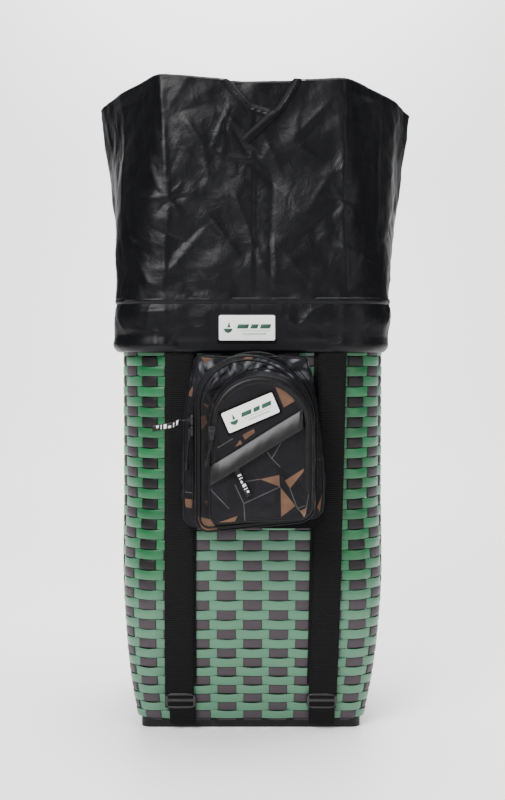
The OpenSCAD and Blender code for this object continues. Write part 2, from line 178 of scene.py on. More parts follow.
def addNode(tree, kind, sockets=(), **settings):
    made = tree.nodes.new("ShaderNode" + kind)
    for key, value in settings.items():
        setattr(made, key, value)
    for key, value in dict(sockets).items():
        if isinstance(value, bpy.types.NodeSocket):
            tree.links.new(value, made.inputs[key])
        else:
            made.inputs[key].default_value = value
    return made


def newGroup(name, inputs, outputs):
    group = bpy.data.node_groups.new(name, "ShaderNodeTree")
    for label, kind, value in inputs:
        socket = group.interface.new_socket(label, in_out="INPUT", socket_type="NodeSocket" + kind)
        if value is not None:
            socket.default_value = value
    for label, kind in outputs:
        group.interface.new_socket(label, in_out="OUTPUT", socket_type="NodeSocket" + kind)
    return group, group.nodes.new("NodeGroupInput"), group.nodes.new("NodeGroupOutput")


def calc(tree, kind, *values):
    # One Math node's result
    return addNode(tree, "Math", dict(enumerate(values)), operation=kind).outputs[0]


def ramp(tree, value, low=0.0, high=1.0, start=0.0, end=1.0):
    # From start to end as value goes from low to high
    sockets = {"Value": value, "From Min": low, "From Max": high, "To Min": start, "To Max": end}
    return addNode(tree, "MapRange", sockets).outputs[0]


def mixColor(tree, factor, first, second):
    # Blend of two colours, each three numbers or a socket
    full = [(*color, 1) if isinstance(color, tuple) else color for color in (first, second)]
    return addNode(tree, "Mix", {0: factor, 6: full[0], 7: full[1]}, data_type="RGBA").outputs[2]


def wearGroup():
    sockets = [("Vector", "Vector", None), ("Scale", "Float", 30.0), ("Amount", "Float", 0.5)]
    group, given, result = newGroup("wearMask", sockets, [("Mask", "Float")])
    vector, scale, amount = (given.outputs[label] for label in ("Vector", "Scale", "Amount"))
    noise = addNode(group, "TexNoise", {"Vector": vector, "Scale": scale, "Detail": 6.0, "Roughness": 0.62})
    edge = calc(group, "SUBTRACT", 0.78, amount)
    top = calc(group, "ADD", edge, 0.18)
    group.links.new(ramp(group, noise.outputs["Fac"], edge, top), result.inputs["Mask"])
    return group


def clothGroup():
    # Height of a plain weave: two sets of ridges at right angles, each hidden in turn under the other
    sockets = [("Vector", "Vector", None), ("Threads", "Float", 1500.0)]
    group, given, result = newGroup("plainWeave", sockets, [("Height", "Float")])
    vector, threads = given.outputs["Vector"], given.outputs["Threads"]
    scaled = addNode(group, "VectorMath", {0: vector, "Scale": threads}, operation="SCALE")
    parts = addNode(group, "SeparateXYZ", {0: scaled.outputs[0]})
    turns = [calc(group, "MULTIPLY", parts.outputs[axis], math.pi) for axis in (0, 1)]
    ridges = [calc(group, "ABSOLUTE", calc(group, "SINE", turn)) for turn in turns]
    group.links.new(calc(group, "MULTIPLY", *ridges), result.inputs["Height"])
    return group


def grainGroup():
    sockets = [("Vector", "Vector", None), ("Scale", "Float", 900.0)]
    group, given, result = newGroup("pebbleGrain", sockets, [("Height", "Float")])
    vector, scale = given.outputs["Vector"], given.outputs["Scale"]
    cells = addNode(group, "TexVoronoi", {"Vector": vector, "Scale": scale}, feature="SMOOTH_F1")
    cells.inputs["Smoothness"].default_value = 0.6
    soft = addNode(group, "TexNoise", {"Vector": vector, "Scale": 160.0, "Detail": 3.0})
    both = calc(group, "ADD", cells.outputs["Distance"], soft.outputs["Fac"])
    group.links.new(both, result.inputs["Height"])
    return group


wearMask, plainWeave, pebbleGrain = wearGroup(), clothGroup(), grainGroup()


def useGroup(tree, group, sockets=()):
    return addNode(tree, "Group", sockets, node_tree=group).outputs[0]


def newMaterial(name, color, roughness, **settings):
    # A principled material with its constants set; returns it with its tree, shader and coordinates
    material = bpy.data.materials.new(name)
    material.use_nodes = True
    tree = material.node_tree
    shader = tree.nodes["Principled BSDF"]
    shader.inputs["Base Color"].default_value = (*color, 1)
    shader.inputs["Roughness"].default_value = roughness
    for key, value in settings.items():
        shader.inputs[key.replace("_", " ")].default_value = value
    return material, tree, shader, addNode(tree, "TexCoord")


def addBump(tree, shader, height, distance, strength=1.0, normal=None):
    sockets = {"Height": height, "Distance": distance, "Strength": strength}
    if normal is not None:
        sockets["Normal"] = normal
    bump = addNode(tree, "Bump", sockets)
    tree.links.new(bump.outputs[0], shader.inputs["Normal"])
    return bump.outputs[0]


def stripMaterial(name, dark, light, litPale, roughness, specular):
    material, tree, shader, where = newMaterial(name, dark, roughness, Specular_IOR_Level=specular)
    place = where.outputs["Object"]
    tone = addNode(tree, "Attribute", attribute_name="tone").outputs["Fac"]
    # streaks along the strip
    drawn = addNode(tree, "VectorMath", {0: place, 1: (40, 40, 260)}, operation="MULTIPLY")
    streak = addNode(tree, "TexNoise", {"Vector": drawn.outputs[0], "Scale": 1.0,
                                        "Detail": 4.0}).outputs["Fac"]
    base = mixColor(tree, ramp(tree, calc(tree, "ADD", streak, tone), 0.35, 1.35), dark, light)
    # painted light: paler below and between the straps, standing for floor-bounce light and sheen on the
    # plastic
    parts = addNode(tree, "SeparateXYZ", {0: place})
    fromMiddle = calc(tree, "ABSOLUTE", parts.outputs[0])
    side = ramp(tree, fromMiddle, 0.07, 0.115)
    edge = ramp(tree, fromMiddle, 0.16, 0.144)
    high = ramp(tree, parts.outputs[2], 0.165, 0.215)
    kept = calc(tree, "MULTIPLY", calc(tree, "MULTIPLY", side, high), edge)
    base = mixColor(tree, ramp(tree, kept, start=0.85, end=0.0), base, litPale)
    worn = useGroup(tree, wearMask, {"Vector": place, "Scale": 55.0, "Amount": 0.05})
    # painted shade in the gaps beside each crossing, where the warp runs behind the weft
    base = mixColor(tree, ramp(tree, tone, -0.8, 0.0), (0.001, 0.001, 0.001), base)
    pale = tuple(min(1, 0.25 + 0.75 * value) for value in light)
    tree.links.new(mixColor(tree, worn, base, pale), shader.inputs["Base Color"])
    rough = ramp(tree, streak, start=roughness - 0.08, end=roughness + 0.14)
    tree.links.new(rough, shader.inputs["Roughness"])
    # embossed diamonds of the strip
    turned = addNode(tree, "VectorRotate", {"Vector": where.outputs["UV"], "Angle": 0.785},
                     rotation_type="Z_AXIS")
    diamonds = useGroup(tree, plainWeave, {"Vector": turned.outputs[0], "Threads": 620.0})
    addBump(tree, shader, diamonds, 0.00012, 0.5)
    return material


def clothMaterial(name, color, roughness, threads=1100.0, sheen=0.05, crumple=0.0, specular=0.28):
    material, tree, shader, where = newMaterial(name, color, roughness, Sheen_Weight=sheen,
                                                Sheen_Roughness=0.5, Specular_IOR_Level=specular)
    place = where.outputs["Object"]
    cloud = addNode(tree, "TexNoise", {"Vector": place, "Scale": 24.0, "Detail": 5.0}).outputs["Fac"]
    lit = tuple(min(1, value * 1.35 + 0.001) for value in color)
    tree.links.new(mixColor(tree, cloud, color, lit), shader.inputs["Base Color"])
    rough = ramp(tree, cloud, start=roughness - 0.06, end=roughness + 0.1)
    tree.links.new(rough, shader.inputs["Roughness"])
    weave = useGroup(tree, plainWeave, {"Vector": where.outputs["UV"], "Threads": threads})
    normal = addBump(tree, shader, weave, 0.00008, 0.4)
    if crumple:
        sockets = {"Vector": place, "Scale": 34.0, "Detail": 4.0, "Roughness": 0.55, "Distortion": 0.6}
        rumples = addNode(tree, "TexNoise", sockets)
        addBump(tree, shader, rumples.outputs["Fac"], crumple, 1.0, normal)
    return material


def plasticMaterial(name, color, roughness, scuff=0.25, metallic=0.0, specular=0.35):
    material, tree, shader, where = newMaterial(name, color, roughness, Metallic=metallic,
                                                Specular_IOR_Level=specular)
    place = where.outputs["Object"]
    worn = useGroup(tree, wearMask, {"Vector": place, "Scale": 90.0, "Amount": scuff})
    pale = tuple(min(1, value * 1.7 + 0.005) for value in color)
    tree.links.new(mixColor(tree, worn, color, pale), shader.inputs["Base Color"])
    rough = ramp(tree, worn, start=roughness, end=min(1, roughness + 0.22))
    tree.links.new(rough, shader.inputs["Roughness"])
    grain = addNode(tree, "TexNoise", {"Vector": place, "Scale": 900.0, "Detail": 2.0})
    addBump(tree, shader, grain.outputs["Fac"], 0.00006, 0.5)
    return material


def webbingMaterial(name, color, ribPitch=0.0026):
    material, tree, shader, where = newMaterial(name, color, 0.62, Specular_IOR_Level=0.08)
    uv = where.outputs["UV"]
    along = addNode(tree, "SeparateXYZ", {0: uv}).outputs[1]
    rib = ramp(tree, calc(tree, "SINE", calc(tree, "MULTIPLY", along, 2 * math.pi / ribPitch)), -1.0, 1.0)
    fine = useGroup(tree, plainWeave, {"Vector": uv, "Threads": 900.0})
    lit = tuple(value * 1.9 + 0.004 for value in color)
    tree.links.new(mixColor(tree, rib, color, lit), shader.inputs["Base Color"])
    addBump(tree, shader, calc(tree, "MULTIPLY_ADD", fine, 0.35, rib), 0.0004, 0.8)
    return material


# each strip's third colour is the painted light-struck pale used below and between the straps
greenStrip = stripMaterial("greenStrip", (0.004, 0.06, 0.02), (0.014, 0.13, 0.045), (0.066, 0.175, 0.105),
                           0.3, 0.42)
darkStrip = stripMaterial("darkStrip", (0.004, 0.003, 0.004), (0.014, 0.011, 0.013), (0.05, 0.04, 0.047),
                          0.44, 0.2)
coatedNylon = clothMaterial("coatedNylon", (0.0022, 0.0022, 0.003), 0.34, sheen=0.0, crumple=0.0016,
                            specular=0.16)
bandNylon = clothMaterial("bandNylon", (0.002, 0.002, 0.0028), 0.34, sheen=0.0, crumple=0.0014, specular=0.16)
hemTape = clothMaterial("hemTape", (0.0015, 0.0015, 0.002), 0.5, threads=700.0, sheen=0.0, specular=0.1)
blackFelt = clothMaterial("blackFelt", (0.002, 0.002, 0.0025), 0.85, threads=500.0, sheen=0.02, specular=0.1)
webbing = webbingMaterial("webbing", (0.0016, 0.0016, 0.0019))
basePlastic = plasticMaterial("basePlastic", (0.003, 0.003, 0.0036), 0.42, specular=0.22)
bucklePlastic = plasticMaterial("bucklePlastic", (0.006, 0.006, 0.0068), 0.3, specular=0.5)
boardPlastic = plasticMaterial("boardPlastic", (0.03, 0.03, 0.034), 0.6)
rodPlastic = plasticMaterial("rodPlastic", (0.02, 0.02, 0.02), 0.5)
whiteRubber = plasticMaterial("whiteRubber", (0.80, 0.80, 0.78), 0.5, scuff=0.1)
zipMetal = plasticMaterial("zipMetal", (0.022, 0.022, 0.024), 0.34, metallic=0.5, specular=0.3)
pullRubber = plasticMaterial("pullRubber", (0.003, 0.003, 0.0036), 0.45, specular=0.25)
zipCoil = plasticMaterial("zipCoil", (0.0025, 0.0025, 0.003), 0.4, specular=0.18)
stitchThread = clothMaterial("stitchThread", (0.05, 0.05, 0.055), 0.7)
print("materials made")


# sizes in mm; tight closes the rows up near the foot, and frontEighth and sideEighth are the columns
# between the middle of a wall and its corner
basket = {
    "halfWidth": 172.0, "halfDepth": 150.0, "cornerRadius": 80.0, "bulgeZ": 230.0,
    "sideCurve": 980.0, "frontCurve": 1042.0,
    "rows": 41, "pitch": 13.2, "footZ": 13.0, "fill": 0.985, "tight": 13.2,
    "columns": 34, "columnPitch": 33.5, "warpWidth": 24.0,
    "centreOut": -1.25, "weave": 1.25, "crown": 0.1,
    "footSpread": 4.2, "spreadTop": 190, "spreadSide": 140,
    "frontEighth": 4.57, "sideEighth": 3.93,
}


def wallShape(z):
    # Half width, half depth and corner radius at height z, in mm
    drop = np.maximum(0, basket["bulgeZ"] - z)
    inward = lambda r: r - np.sqrt(r * r - drop * drop)
    corner = basket["cornerRadius"] - 54 * np.clip((300 - z) / 290, 0, 1)
    width, depth = basket["halfWidth"], basket["halfDepth"]
    return width - inward(basket["sideCurve"]), depth - inward(basket["frontCurve"]), corner


def quarterPoint(a, b, r, s):
    # Point and outward normal of a rounded rectangle's front right quarter, s along from the front's middle
    turn = np.clip((s - a + r) / r, 0, np.pi / 2)
    flat, rise = np.minimum(s, a - r), np.maximum(0, s - (a - r) - np.pi * r / 2)
    x = flat + r * np.sin(turn)
    y = -b + r - r * np.cos(turn) + rise
    return x, y, np.sin(turn), -np.cos(turn)


def wallPoint(column, z, out):
    # Points at a column number counted anticlockwise from the front's middle, in metres
    column, z, out = np.broadcast_arrays(column, z, out)
    a, b, r = wallShape(z)
    total = basket["columns"]
    lap = np.mod(column, total)
    half = np.minimum(lap, total - lap)
    near = np.minimum(half, total / 2 - half)
    front, side, pitch = basket["frontEighth"], basket["sideEighth"], basket["columnPitch"]
    frontLength, sideLength = a - r + np.pi * r / 4, b - r + np.pi * r / 4
    fromSide = total / 4 - near
    s = np.where(near <= front, pitch * near - (pitch * front - frontLength) * (near / front) ** 2,
                 frontLength + sideLength - (pitch * fromSide
                                             - (pitch * side - sideLength) * (fromSide / side) ** 2))
    x, y, nx, ny = quarterPoint(a, b, r, s)
    signX, signY = np.where(lap <= total / 2, 1, -1), np.where(half <= total / 4, 1, -1)
    x = signX * (x + nx * out)
    # the foot spreads a little to the left
    low = 1 - smoothStep(z, 0, basket["spreadTop"])
    x = x - basket["footSpread"] * low * smoothStep(-x, 0, basket["spreadSide"])
    return np.stack([x, signY * (y + ny * out), z], -1) * mm


def rowHeight(row):
    # Height of a place counted in rows: z = foot + pitch row - tight (1 - exp(-row / 6)), in mm
    return basket["footZ"] + basket["pitch"] * row - basket["tight"] * (1 - np.exp(-row / 6))


random = np.random.default_rng(11)
# a strip's cross-section as (height share, thickness offset): crowned outside, flat inside
section = np.array([[-0.5, -0.2], [-0.485, 0.38], [-0.44, 0.58], [0, 0.72], [0.44, 0.58], [0.485, 0.38],
                    [0.5, -0.2], [0.3, -0.4], [-0.3, -0.4]])
crowned = section[:, 1] + np.maximum(0, section[:, 1] - 0.3) * basket["crown"]


def makeWeft():
    # Row i passes outside column k where i + k is odd: out = centre - weave * cos(pi (i + k))
    row = np.arange(basket["rows"])[:, None, None]
    column = np.arange(0, basket["columns"], 1 / 6)[None, :, None]
    wobble = softNoise(column * 1.7, row * 3.1, 9.0, 3, 2) * 0.5
    wave = -np.cos(np.pi * (row + column))
    wave = np.sign(wave) * np.abs(wave) ** 0.75
    # pinched where the upright crosses over it
    height = (rowHeight(row + 1.0) - rowHeight(row)) * basket["fill"] + 0.3 * wave
    share = section[None, None, :, 0]
    z = rowHeight(row + 0.5) + wobble + share * height - 2.6 * np.maximum(0, wave) ** 2 * np.maximum(0, share)
    out = (basket["centreOut"] + basket["weave"] * wave + crowned[None, None, :]
           + 0.25 * softNoise(column * 2.3, row * 5.7, 5.0, 4, 2))
    points = wallPoint(column + z * 0, z, out)
    along = np.arange(points.shape[1] + 1) * basket["columnPitch"] / 6 * mm
    uv = np.stack(np.broadcast_arrays(along[:, None], np.append(section[:, 0], 0.5)[None] * 0.0135), -1)
    tone = random.uniform(0.15, 0.75, basket["rows"])[:, None, None]
    return buildMesh("weftWeave", points, True, True, uv, tone, greenStrip, body="basket")


def makeWarp():
    # Upright k passes outside row i where i + k is even, on the same wave
    k = np.arange(basket["columns"])[:, None, None]
    row = np.linspace(-0.5, basket["rows"] - 0.45, basket["rows"] * 7)[None, :, None]
    z = rowHeight(row + 0.5)
    wave = np.cos(np.pi * (row + k))
    wave = np.sign(wave) * np.abs(wave) ** 0.45
    width = basket["warpWidth"] / basket["columnPitch"]
    sway = 0.02 * softNoise(k * 7.3, row * 0.6, 8.0, 5, 2)
    out = basket["centreOut"] - 0.05 + basket["weave"] * 0.9 * wave + crowned[None, None, :]
    points = wallPoint(k + sway + section[None, None, ::-1, 0] * width, z + section[None, None, :, 0] * 0,
                       out[:, :, ::-1])
    foot = np.array([[9.0, -5.6], [4.5, -7.4], [3.0, -8.6]])   # height and offset of the tucked foot
    fz, fo = foot[::-1, 0][None, :, None], foot[::-1, 1][None, :, None]
    lower = wallPoint(k + section[None, None, ::-1, 0] * width, fz + section[None, None, :, 0] * 0
                      + 0 * k, crowned[None, None, ::-1] * 0.6 + fo)
    points = np.concatenate([lower, points], 1)
    along = np.linspace(0, 0.53, points.shape[1])
    uv = np.stack(np.broadcast_arrays(along[:, None], np.append(section[:, 0], 0.5)[None] * 0.024), -1)
    tone = np.broadcast_to(random.uniform(0.1, 0.7, basket["columns"])[:, None, None],
                           points.shape[:3]).copy()
    # painted shade: the warp is marked -0.8 where it passes behind the weft, so the material darkens it to
    # near black
    tone[:, len(foot):] = np.where(np.cos(np.pi * (row + k)) < 0.12, -0.8, tone[:, len(foot):])
    return buildMesh("warpWeave", points, False, True, uv, tone, darkStrip, body="basket")


weft, warp = makeWeft(), makeWarp()
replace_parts(weft, "weft_strips")
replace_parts(warp, "warp_strips")
print("basket woven")


# sizes in mm; rimShare, rimX, rimY and rimDrop are the corners of the open rim
collar = {
    "footZ": 558.0, "rimZ": 842.0, "bandZ": 494.0, "around": 420, "up": 110, "cloth": 1.2,
    "sleeveRound": 1235, "sleeveHigh": 278, "bandRound": 1256, "bandColumns": 480,
    "footHalfWidth": 179.2, "footHalfDepth": 160.4, "footRadius": 68.0,
    "rimShare": [0, 0.1, 0.185, 0.272, 0.4, 0.5, 0.6, 0.72, 0.83, 0.9, 1],
    "rimX": [0, 121, 190, 224, 124, 0, -124, -216, -174, -121, 0],
    "rimY": [-140, -140, -28, 48, 150, 150, 150, 44, -52, -140, -140],
    "rimDrop": [4, 0, 8, 18, 1, 0, 1, 11, 3, -5, 4],
}
# creases as (u, height, u, height, ridge, width) in mm; u runs right from the front's middle
frontCreases = [(-122, 290, -108, 128, 2.6, 3.5), (-107, 128, -115, -4, 2.2, 3.0),
                (122, 290, 117, 126, 2.4, 3.0), (117, 126, 121, -4, 2.2, 2.6),
                (-160, 128, -108, 126, 2.6, 4.0), (-107, 126, -84, 128, -1.6, 3.0),
                (96, 128, 140, 122, -2.0, 3.4), (-107, 126, -90, 145, 1.6, 2.2),
                (-107, 126, -92, 108, 1.8, 2.2), (-107, 126, -122, 106, -1.8, 2.4),
                (-107, 126, -126, 148, 1.5, 2.4), (117, 124, 104, 142, 1.7, 2.2),
                (117, 124, 101, 108, -1.8, 2.4), (117, 124, 134, 106, 1.6, 2.2),
                (117, 124, 130, 144, -1.5, 2.2), (26, 150, 22, 4, -1.8, 3.2), (24, 95, 30, 30, 1.6, 2.6),
                (-22, 132, 12, 46, 2.0, 4.0), (12, 46, 30, 16, 1.6, 3.0), (-60, 110, -20, 60, 1.6, 5.0),
                (-70, 34, -40, 12, 1.6, 3.4), (44, 56, 76, 20, 1.8, 5.0), (60, 210, 100, 250, 1.8, 4.0),
                (52, 200, 84, 178, 1.4, 4.0), (-90, 230, -62, 190, 2.0, 5.0),
                (-62, 190, -58, 150, 1.6, 4.0), (-100, 60, -60, 96, -1.6, 4.0),
                (-30, 244, -52, 190, 2.2, 2.8), (-52, 190, -28, 180, 2.4, 2.6),
                (-28, 180, 6, 178, 2.6, 2.8), (-24, 214, -4, 184, -2.6, 2.4),
                (-12, 206, 10, 188, 2.2, 2.0), (-38, 232, -30, 196, -2.0, 2.6),
                (14, 178, 22, 196, 1.6, 2.4), (-8, 210, -40, 238, 1.8, 2.2),
                (-150, 220, -128, 150, 1.8, 5.0), (-160, 60, -130, 20, 1.8, 4.0),
                (-176, 110, -150, 40, -1.6, 4.5), (148, 210, 136, 120, 1.8, 4.0),
                (150, 100, 140, 30, 1.6, 4.0), (190, 240, 168, 60, 2.2, 4.0),
                (-205, 250, -190, 120, 2.0, 4.0)]
# tape of the folded-over rim, left part
leftArm = [(-36, 279), (-33, 276), (-19, 260), (-3, 245), (22, 237)]
rightArm = [(57, 279), (55, 274), (40, 251), (27, 235), (8, 219), (-9, 203)]


def armGap(u, h, arm):
    # Signed distance above an arm's line, in mm
    line = np.array(arm, float)
    line = line[np.argsort(line[:, 0])]
    slope = np.interp(u, line[:, 0], np.gradient(line[:, 1], line[:, 0]))
    return (h - np.interp(u, line[:, 0], line[:, 1])) / np.hypot(1, slope)


def bandOutline(share):
    # Points and normals of the band's outline, by share of the way round from the front's middle
    a, b, r = collar["footHalfWidth"], collar["footHalfDepth"], collar["footRadius"]
    quarter = a - r + b - r + np.pi * r / 2
    s = np.mod(share, 1) * 4 * quarter
    half = np.minimum(s, 4 * quarter - s)
    x, y, nx, ny = quarterPoint(a, b, r, np.minimum(half, 2 * quarter - half))
    right, front = s <= 2 * quarter, half <= quarter
    return np.where(right, x, -x), np.where(front, y, -y), np.where(right, nx, -nx), np.where(front, ny, -ny)


def collarRest(share, height):
    # Sleeve without wrinkles: from the band's rounded outline to the open rim, by share round and share up
    x, y, _, _ = bandOutline(share)
    shifts = (-0.008, -0.003, 0.003, 0.008)   # averaged, to round the rim's corners
    at = lambda shift, name: np.interp(np.mod(share + shift, 1), collar["rimShare"], collar[name])
    rimX, rimY, drop = (sum(at(shift, name) for shift in shifts) / 4 for name in ("rimX", "rimY", "rimDrop"))
    ease = height ** np.where(x > 0, 0.85, 1.1)
    z = collar["footZ"] + (collar["rimZ"] - drop - collar["footZ"]) * height
    return np.stack([x + (rimX - x) * ease, y + (rimY - y) * ease, z], -1)


def outward(points):
    # Unit normals of a grid closed along its columns
    around = np.roll(points, -1, 1) - np.roll(points, 1, 1)
    normal = np.cross(around, np.gradient(points, axis=0))
    return unit(normal)


def makeCollar():
    share = np.arange(collar["around"])[None, :] / collar["around"]
    height = np.linspace(0, 1, collar["up"])[:, None]
    rest = collarRest(share + height * 0, height + share * 0)
    u = (np.mod(share + 0.5, 1) - 0.5) * collar["sleeveRound"] + height * 0
    h = height * collar["sleeveHigh"] + share * 0
    free = smoothStep(h, 0, 22)
    ridges = creaseField(u, h, frontCreases)
    loose = randomCreases(21, 150, (-617, 10), (617, 270), (24, 95), (0.5, 1.7), (2.2, 7.0))
    ridges = ridges + creaseField(u, h, loose)
    swell = (3.2 * softNoise(u, h * 1.2, 260, 8, 2) + 1.6 * softNoise(u, h, 95, 9, 2)
             + 0.45 * softNoise(u, h, 36, 10, 2))
    # short pleats at the seam
    seamPull = 1.1 * np.sin(u / 9 + 2 * softNoise(u, h, 60, 12)) * np.exp(-h / 16)
    below = armGap(u, h, rightArm)
    vee = smoothStep(armGap(u, h, leftArm), -1.5, 1.5) * smoothStep(below, -1.5, 1.5) * (np.abs(u - 14) < 56)
    shelf = smoothStep(below, 3, -2) * np.exp(-np.maximum(0, -below) / 9) * smoothStep(u, -16, 4)
    shelf = shelf * (1 - smoothStep(u, 58, 74))
    pinch = -3.0 * np.exp(-np.hypot(u + 2, h - 192) / 9)
    offset = (ridges + swell) * free + seamPull + pinch - 6.5 * vee + 3.2 * shelf
    points = rest + outward(rest) * offset[..., None]
    uv = np.stack(np.broadcast_arrays(np.arange(collar["around"] + 1)[None, :] / collar["around"] * 1.235,
                                      height * 0.278), -1)
    made = buildMesh("collarSleeve", points * mm, False, True, uv, None, coatedNylon, flip=True,
                     body="basket")
    thicken(made, collar["cloth"])
    return made, points


def onCollar(grid, u, h, lift):
    # Points on the finished sleeve at distances u round and h up, lifted outwards, in metres
    column = np.mod(np.asarray(u, float) / collar["sleeveRound"], 1) * collar["around"]
    row = np.clip(np.asarray(h, float) / collar["sleeveHigh"], 0, 1) * (collar["up"] - 1)
    c0, r0 = np.floor(column).astype(int), np.minimum(np.floor(row).astype(int), collar["up"] - 2)
    fc, fr = (column - c0)[..., None], (row - r0)[..., None]
    c1 = (c0 + 1) % collar["around"]
    c0 = c0 % collar["around"]
    between = lambda values, row: values[row, c0] * (1 - fc) + values[row, c1] * fc
    pick = lambda values: between(values, r0) * (1 - fr) + between(values, r0 + 1) * fr
    return (pick(grid) + pick(outward(grid)) * np.asarray(lift)[..., None]) * mm


def makeHem(grid):
    # Folded tape over the rim: up the outside, over the edge and down the inside
    share = np.arange(collar["around"])
    rim, down = grid[-1], grid[-1] - grid[-4]
    down = unit(down)
    out = outward(grid)[-1]
    steps = [(-5.6, 0.4), (-5.2, 1.0), (-2.5, 1.2), (0.5, 1.0), (1.2, -0.4), (0.5, -2.0), (-4, -2.4),
             (-9.0, -2.2), (-9.5, -1.4)]
    points = np.stack([rim + down * along + out * lift for along, lift in steps], 1)
    along = share / collar["around"] * 1.235
    uv = np.stack(np.broadcast_arrays(np.append(along, 1.235)[:, None],
                                      np.linspace(0, 0.02, len(steps))[None]), -1)
    return buildMesh("hemTape", points * mm, True, False, uv, None, hemTape, flip=None, body="basket")


def makeArms(grid):
    # The tape where the front of the rim is folded over: two ribbons that meet in a V
    made = []
    for name, arm, lift, width in (("armLeft", leftArm, 2.6, 15.0), ("armRight", rightArm, 3.8, 14.0)):
        line = resample(arm, 60)
        step = np.gradient(line, axis=0)
        side = np.stack([-step[:, 1], step[:, 0]], -1) / np.linalg.norm(step, axis=1, keepdims=True)
        across = np.array([-0.5, -0.42, 0, 0.42, 0.5])
        height = np.array([-2.6, 0, 0.5, 0, -2.6])
        at = line[:, None] + side[:, None] * across[None, :, None] * width
        high = np.clip(at[..., 1], 0, 277.5)
        points = onCollar(grid, at[..., 0], high, np.broadcast_to(lift + height[None], at.shape[:2]))
        smooth = points.copy()
        for _ in range(12):   # the tape bridges the small creases under it
            smooth[1:-1] = (smooth[:-2] + smooth[2:]) / 2 * 0.5 + smooth[1:-1] * 0.5
        points = np.stack([smooth[..., 0], np.minimum(points[..., 1], smooth[..., 1]), smooth[..., 2]], -1)
        uv = np.stack(np.broadcast_arrays(np.linspace(0, 0.1, 60)[:, None], across[None] * 0.008), -1)
        made.append(buildMesh(name, points, False, False, uv, None, hemTape, flip=None, body="basket"))
    return made


sleeve, sleeveGrid = makeCollar()
hem = makeHem(sleeveGrid)
arms = makeArms(sleeveGrid)


def makeBand():
    # Band: rolled lower edge, a slack middle and a seam line at the top; wrinkles fade at the patch
    steps = [(-4.5, 1.5), (-5, 0.3), (-4.0, -0.9), (-2.2, -0.4), (0.4, 1.8), (2.6, 5.0), (3.2, 8.5),
             (2.4, 13), (1.3, 19), (1.1, 27), (1.8, 36), (1.9, 44), (1.0, 52), (0.1, 58), (-0.5, 60.6),
             (-0.9, 61.8), (-0.2, 62.8), (0.7, 64.2), (0.9, 66.5), (0.2, 68.5), (-1.2, 69.0)]
    profile = resample(steps, 46)
    columns = collar["bandColumns"]
    share = np.arange(columns)[None, :] / columns
    x, y, nx, ny = bandOutline(share)
    u = (np.mod(share + 0.5, 1) - 0.5) * collar["bandRound"]
    out, up = profile[:, :1], profile[:, 1:]
    patch = np.exp(-(np.maximum(0, np.abs(u + 7) - 44) / 8) ** 2)
    out = out * (1 - patch) + np.minimum(out, 0.9) * patch   # flat under the sewn patch
    over = np.exp(-(np.maximum(0, np.abs(u) - 94) / 7) ** 2) * (1 - smoothStep(up, 12, 20))
    out = out * (1 - over) + np.minimum(out, 0.3) * over   # pressed flat over the pouch
    ridges = creaseField(u, up, randomCreases(33, 120, (-628, 2), (628, 60), (14, 60), (0.5, 1.7),
                                              (1.8, 5.0)))
    ridges = (ridges + creaseField(u, up, [(-113, 4, -113, 60, 1.3, 2.6), (116, 4, 117, 60, 1.2, 2.6),
                                           (-170, 30, -120, 26, 1.0, 4.0)]))
    swell = (1.7 * softNoise(u, up, 110, 15, 2) + 0.5 * np.sin(u / 8 + 2 * softNoise(u, up, 70, 16))
             * np.exp(-np.abs(up - 62) / 9))
    offset = (out + (ridges + swell) * (1 - patch) * (1 - 0.9 * over) * smoothStep(up, 0, 8)
              * (1 - 0.6 * smoothStep(up, 56, 62)))
    # tucked in at the right
    offset = offset - 5.5 * (1 - smoothStep(up, 0, 46)) * np.exp(-((u - 250) / 105) ** 2)
    sag = 1.6 * softNoise(u, u * 0, 300, 17, 1) * (1 - smoothStep(up, 0, 30))
    points = np.stack([x + nx * offset, y + ny * offset, collar["bandZ"] + up * 0.985 + sag + x * 0], -1)
    uv = np.stack(np.broadcast_arrays(np.arange(columns + 1)[None, :] / columns * 1.256,
                                      profile[:, 1:] * mm), -1)
    made = buildMesh("collarBand", points * mm, False, True, uv, None, bandNylon, flip=True, body="basket")
    thicken(made, collar["cloth"])
    return made, points


band, bandGrid = makeBand()


def makeStitches(name, path, out, pitch, length, radius, body):
    # Short capsules along a closed path, one every pitch; all in metres
    total = np.linalg.norm(np.diff(np.concatenate([path, path[:1]]), axis=0), axis=1).sum()
    count = int(total / pitch)
    line, normal = resample(path, count, True), resample(path + out, count, True)
    ahead = np.roll(line, -1, 0) - line
    ahead = unit(ahead)
    side = normal - line
    side = unit(side)
    lift = np.cross(ahead, side)
    along, size = np.array([-0.5, -0.4, 0.4, 0.5]), np.array([0.1, 1, 1, 0.1])
    angle = np.arange(5) / 5 * 2 * np.pi
    ring = np.cos(angle)[:, None, None] * side + np.sin(angle)[:, None, None] * lift
    points = (line[:, None, None] + ahead[:, None, None] * (along * length)[None, :, None, None]
              + np.transpose(ring, (1, 0, 2))[:, None] * (size * radius)[None, :, None, None])
    return buildMesh(name, points, False, True, None, None, stitchThread, body=body)


bandOut = outward(bandGrid)
seamRow = int(np.argmin(np.abs(bandGrid[:, 0, 2] - 553.5)))
seam = makeStitches("seamStitches", bandGrid[seamRow] * mm, bandOut[seamRow] * mm, 0.0042, 0.0027, 0.0004,
                    "basket")
for piece, node, slot in ((sleeve, "collar_sleeve", "coated_nylon"), (hem, "collar_hem", "hem_tape"),
                          (band, "collar_band", "coated_nylon")):
    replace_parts(piece, node)
for piece in [sleeve, hem] + arms:
    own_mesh(piece)
print("collar made")


straps = {"out": 5.2, "tailOut": 1.9, "thickness": 1.4}


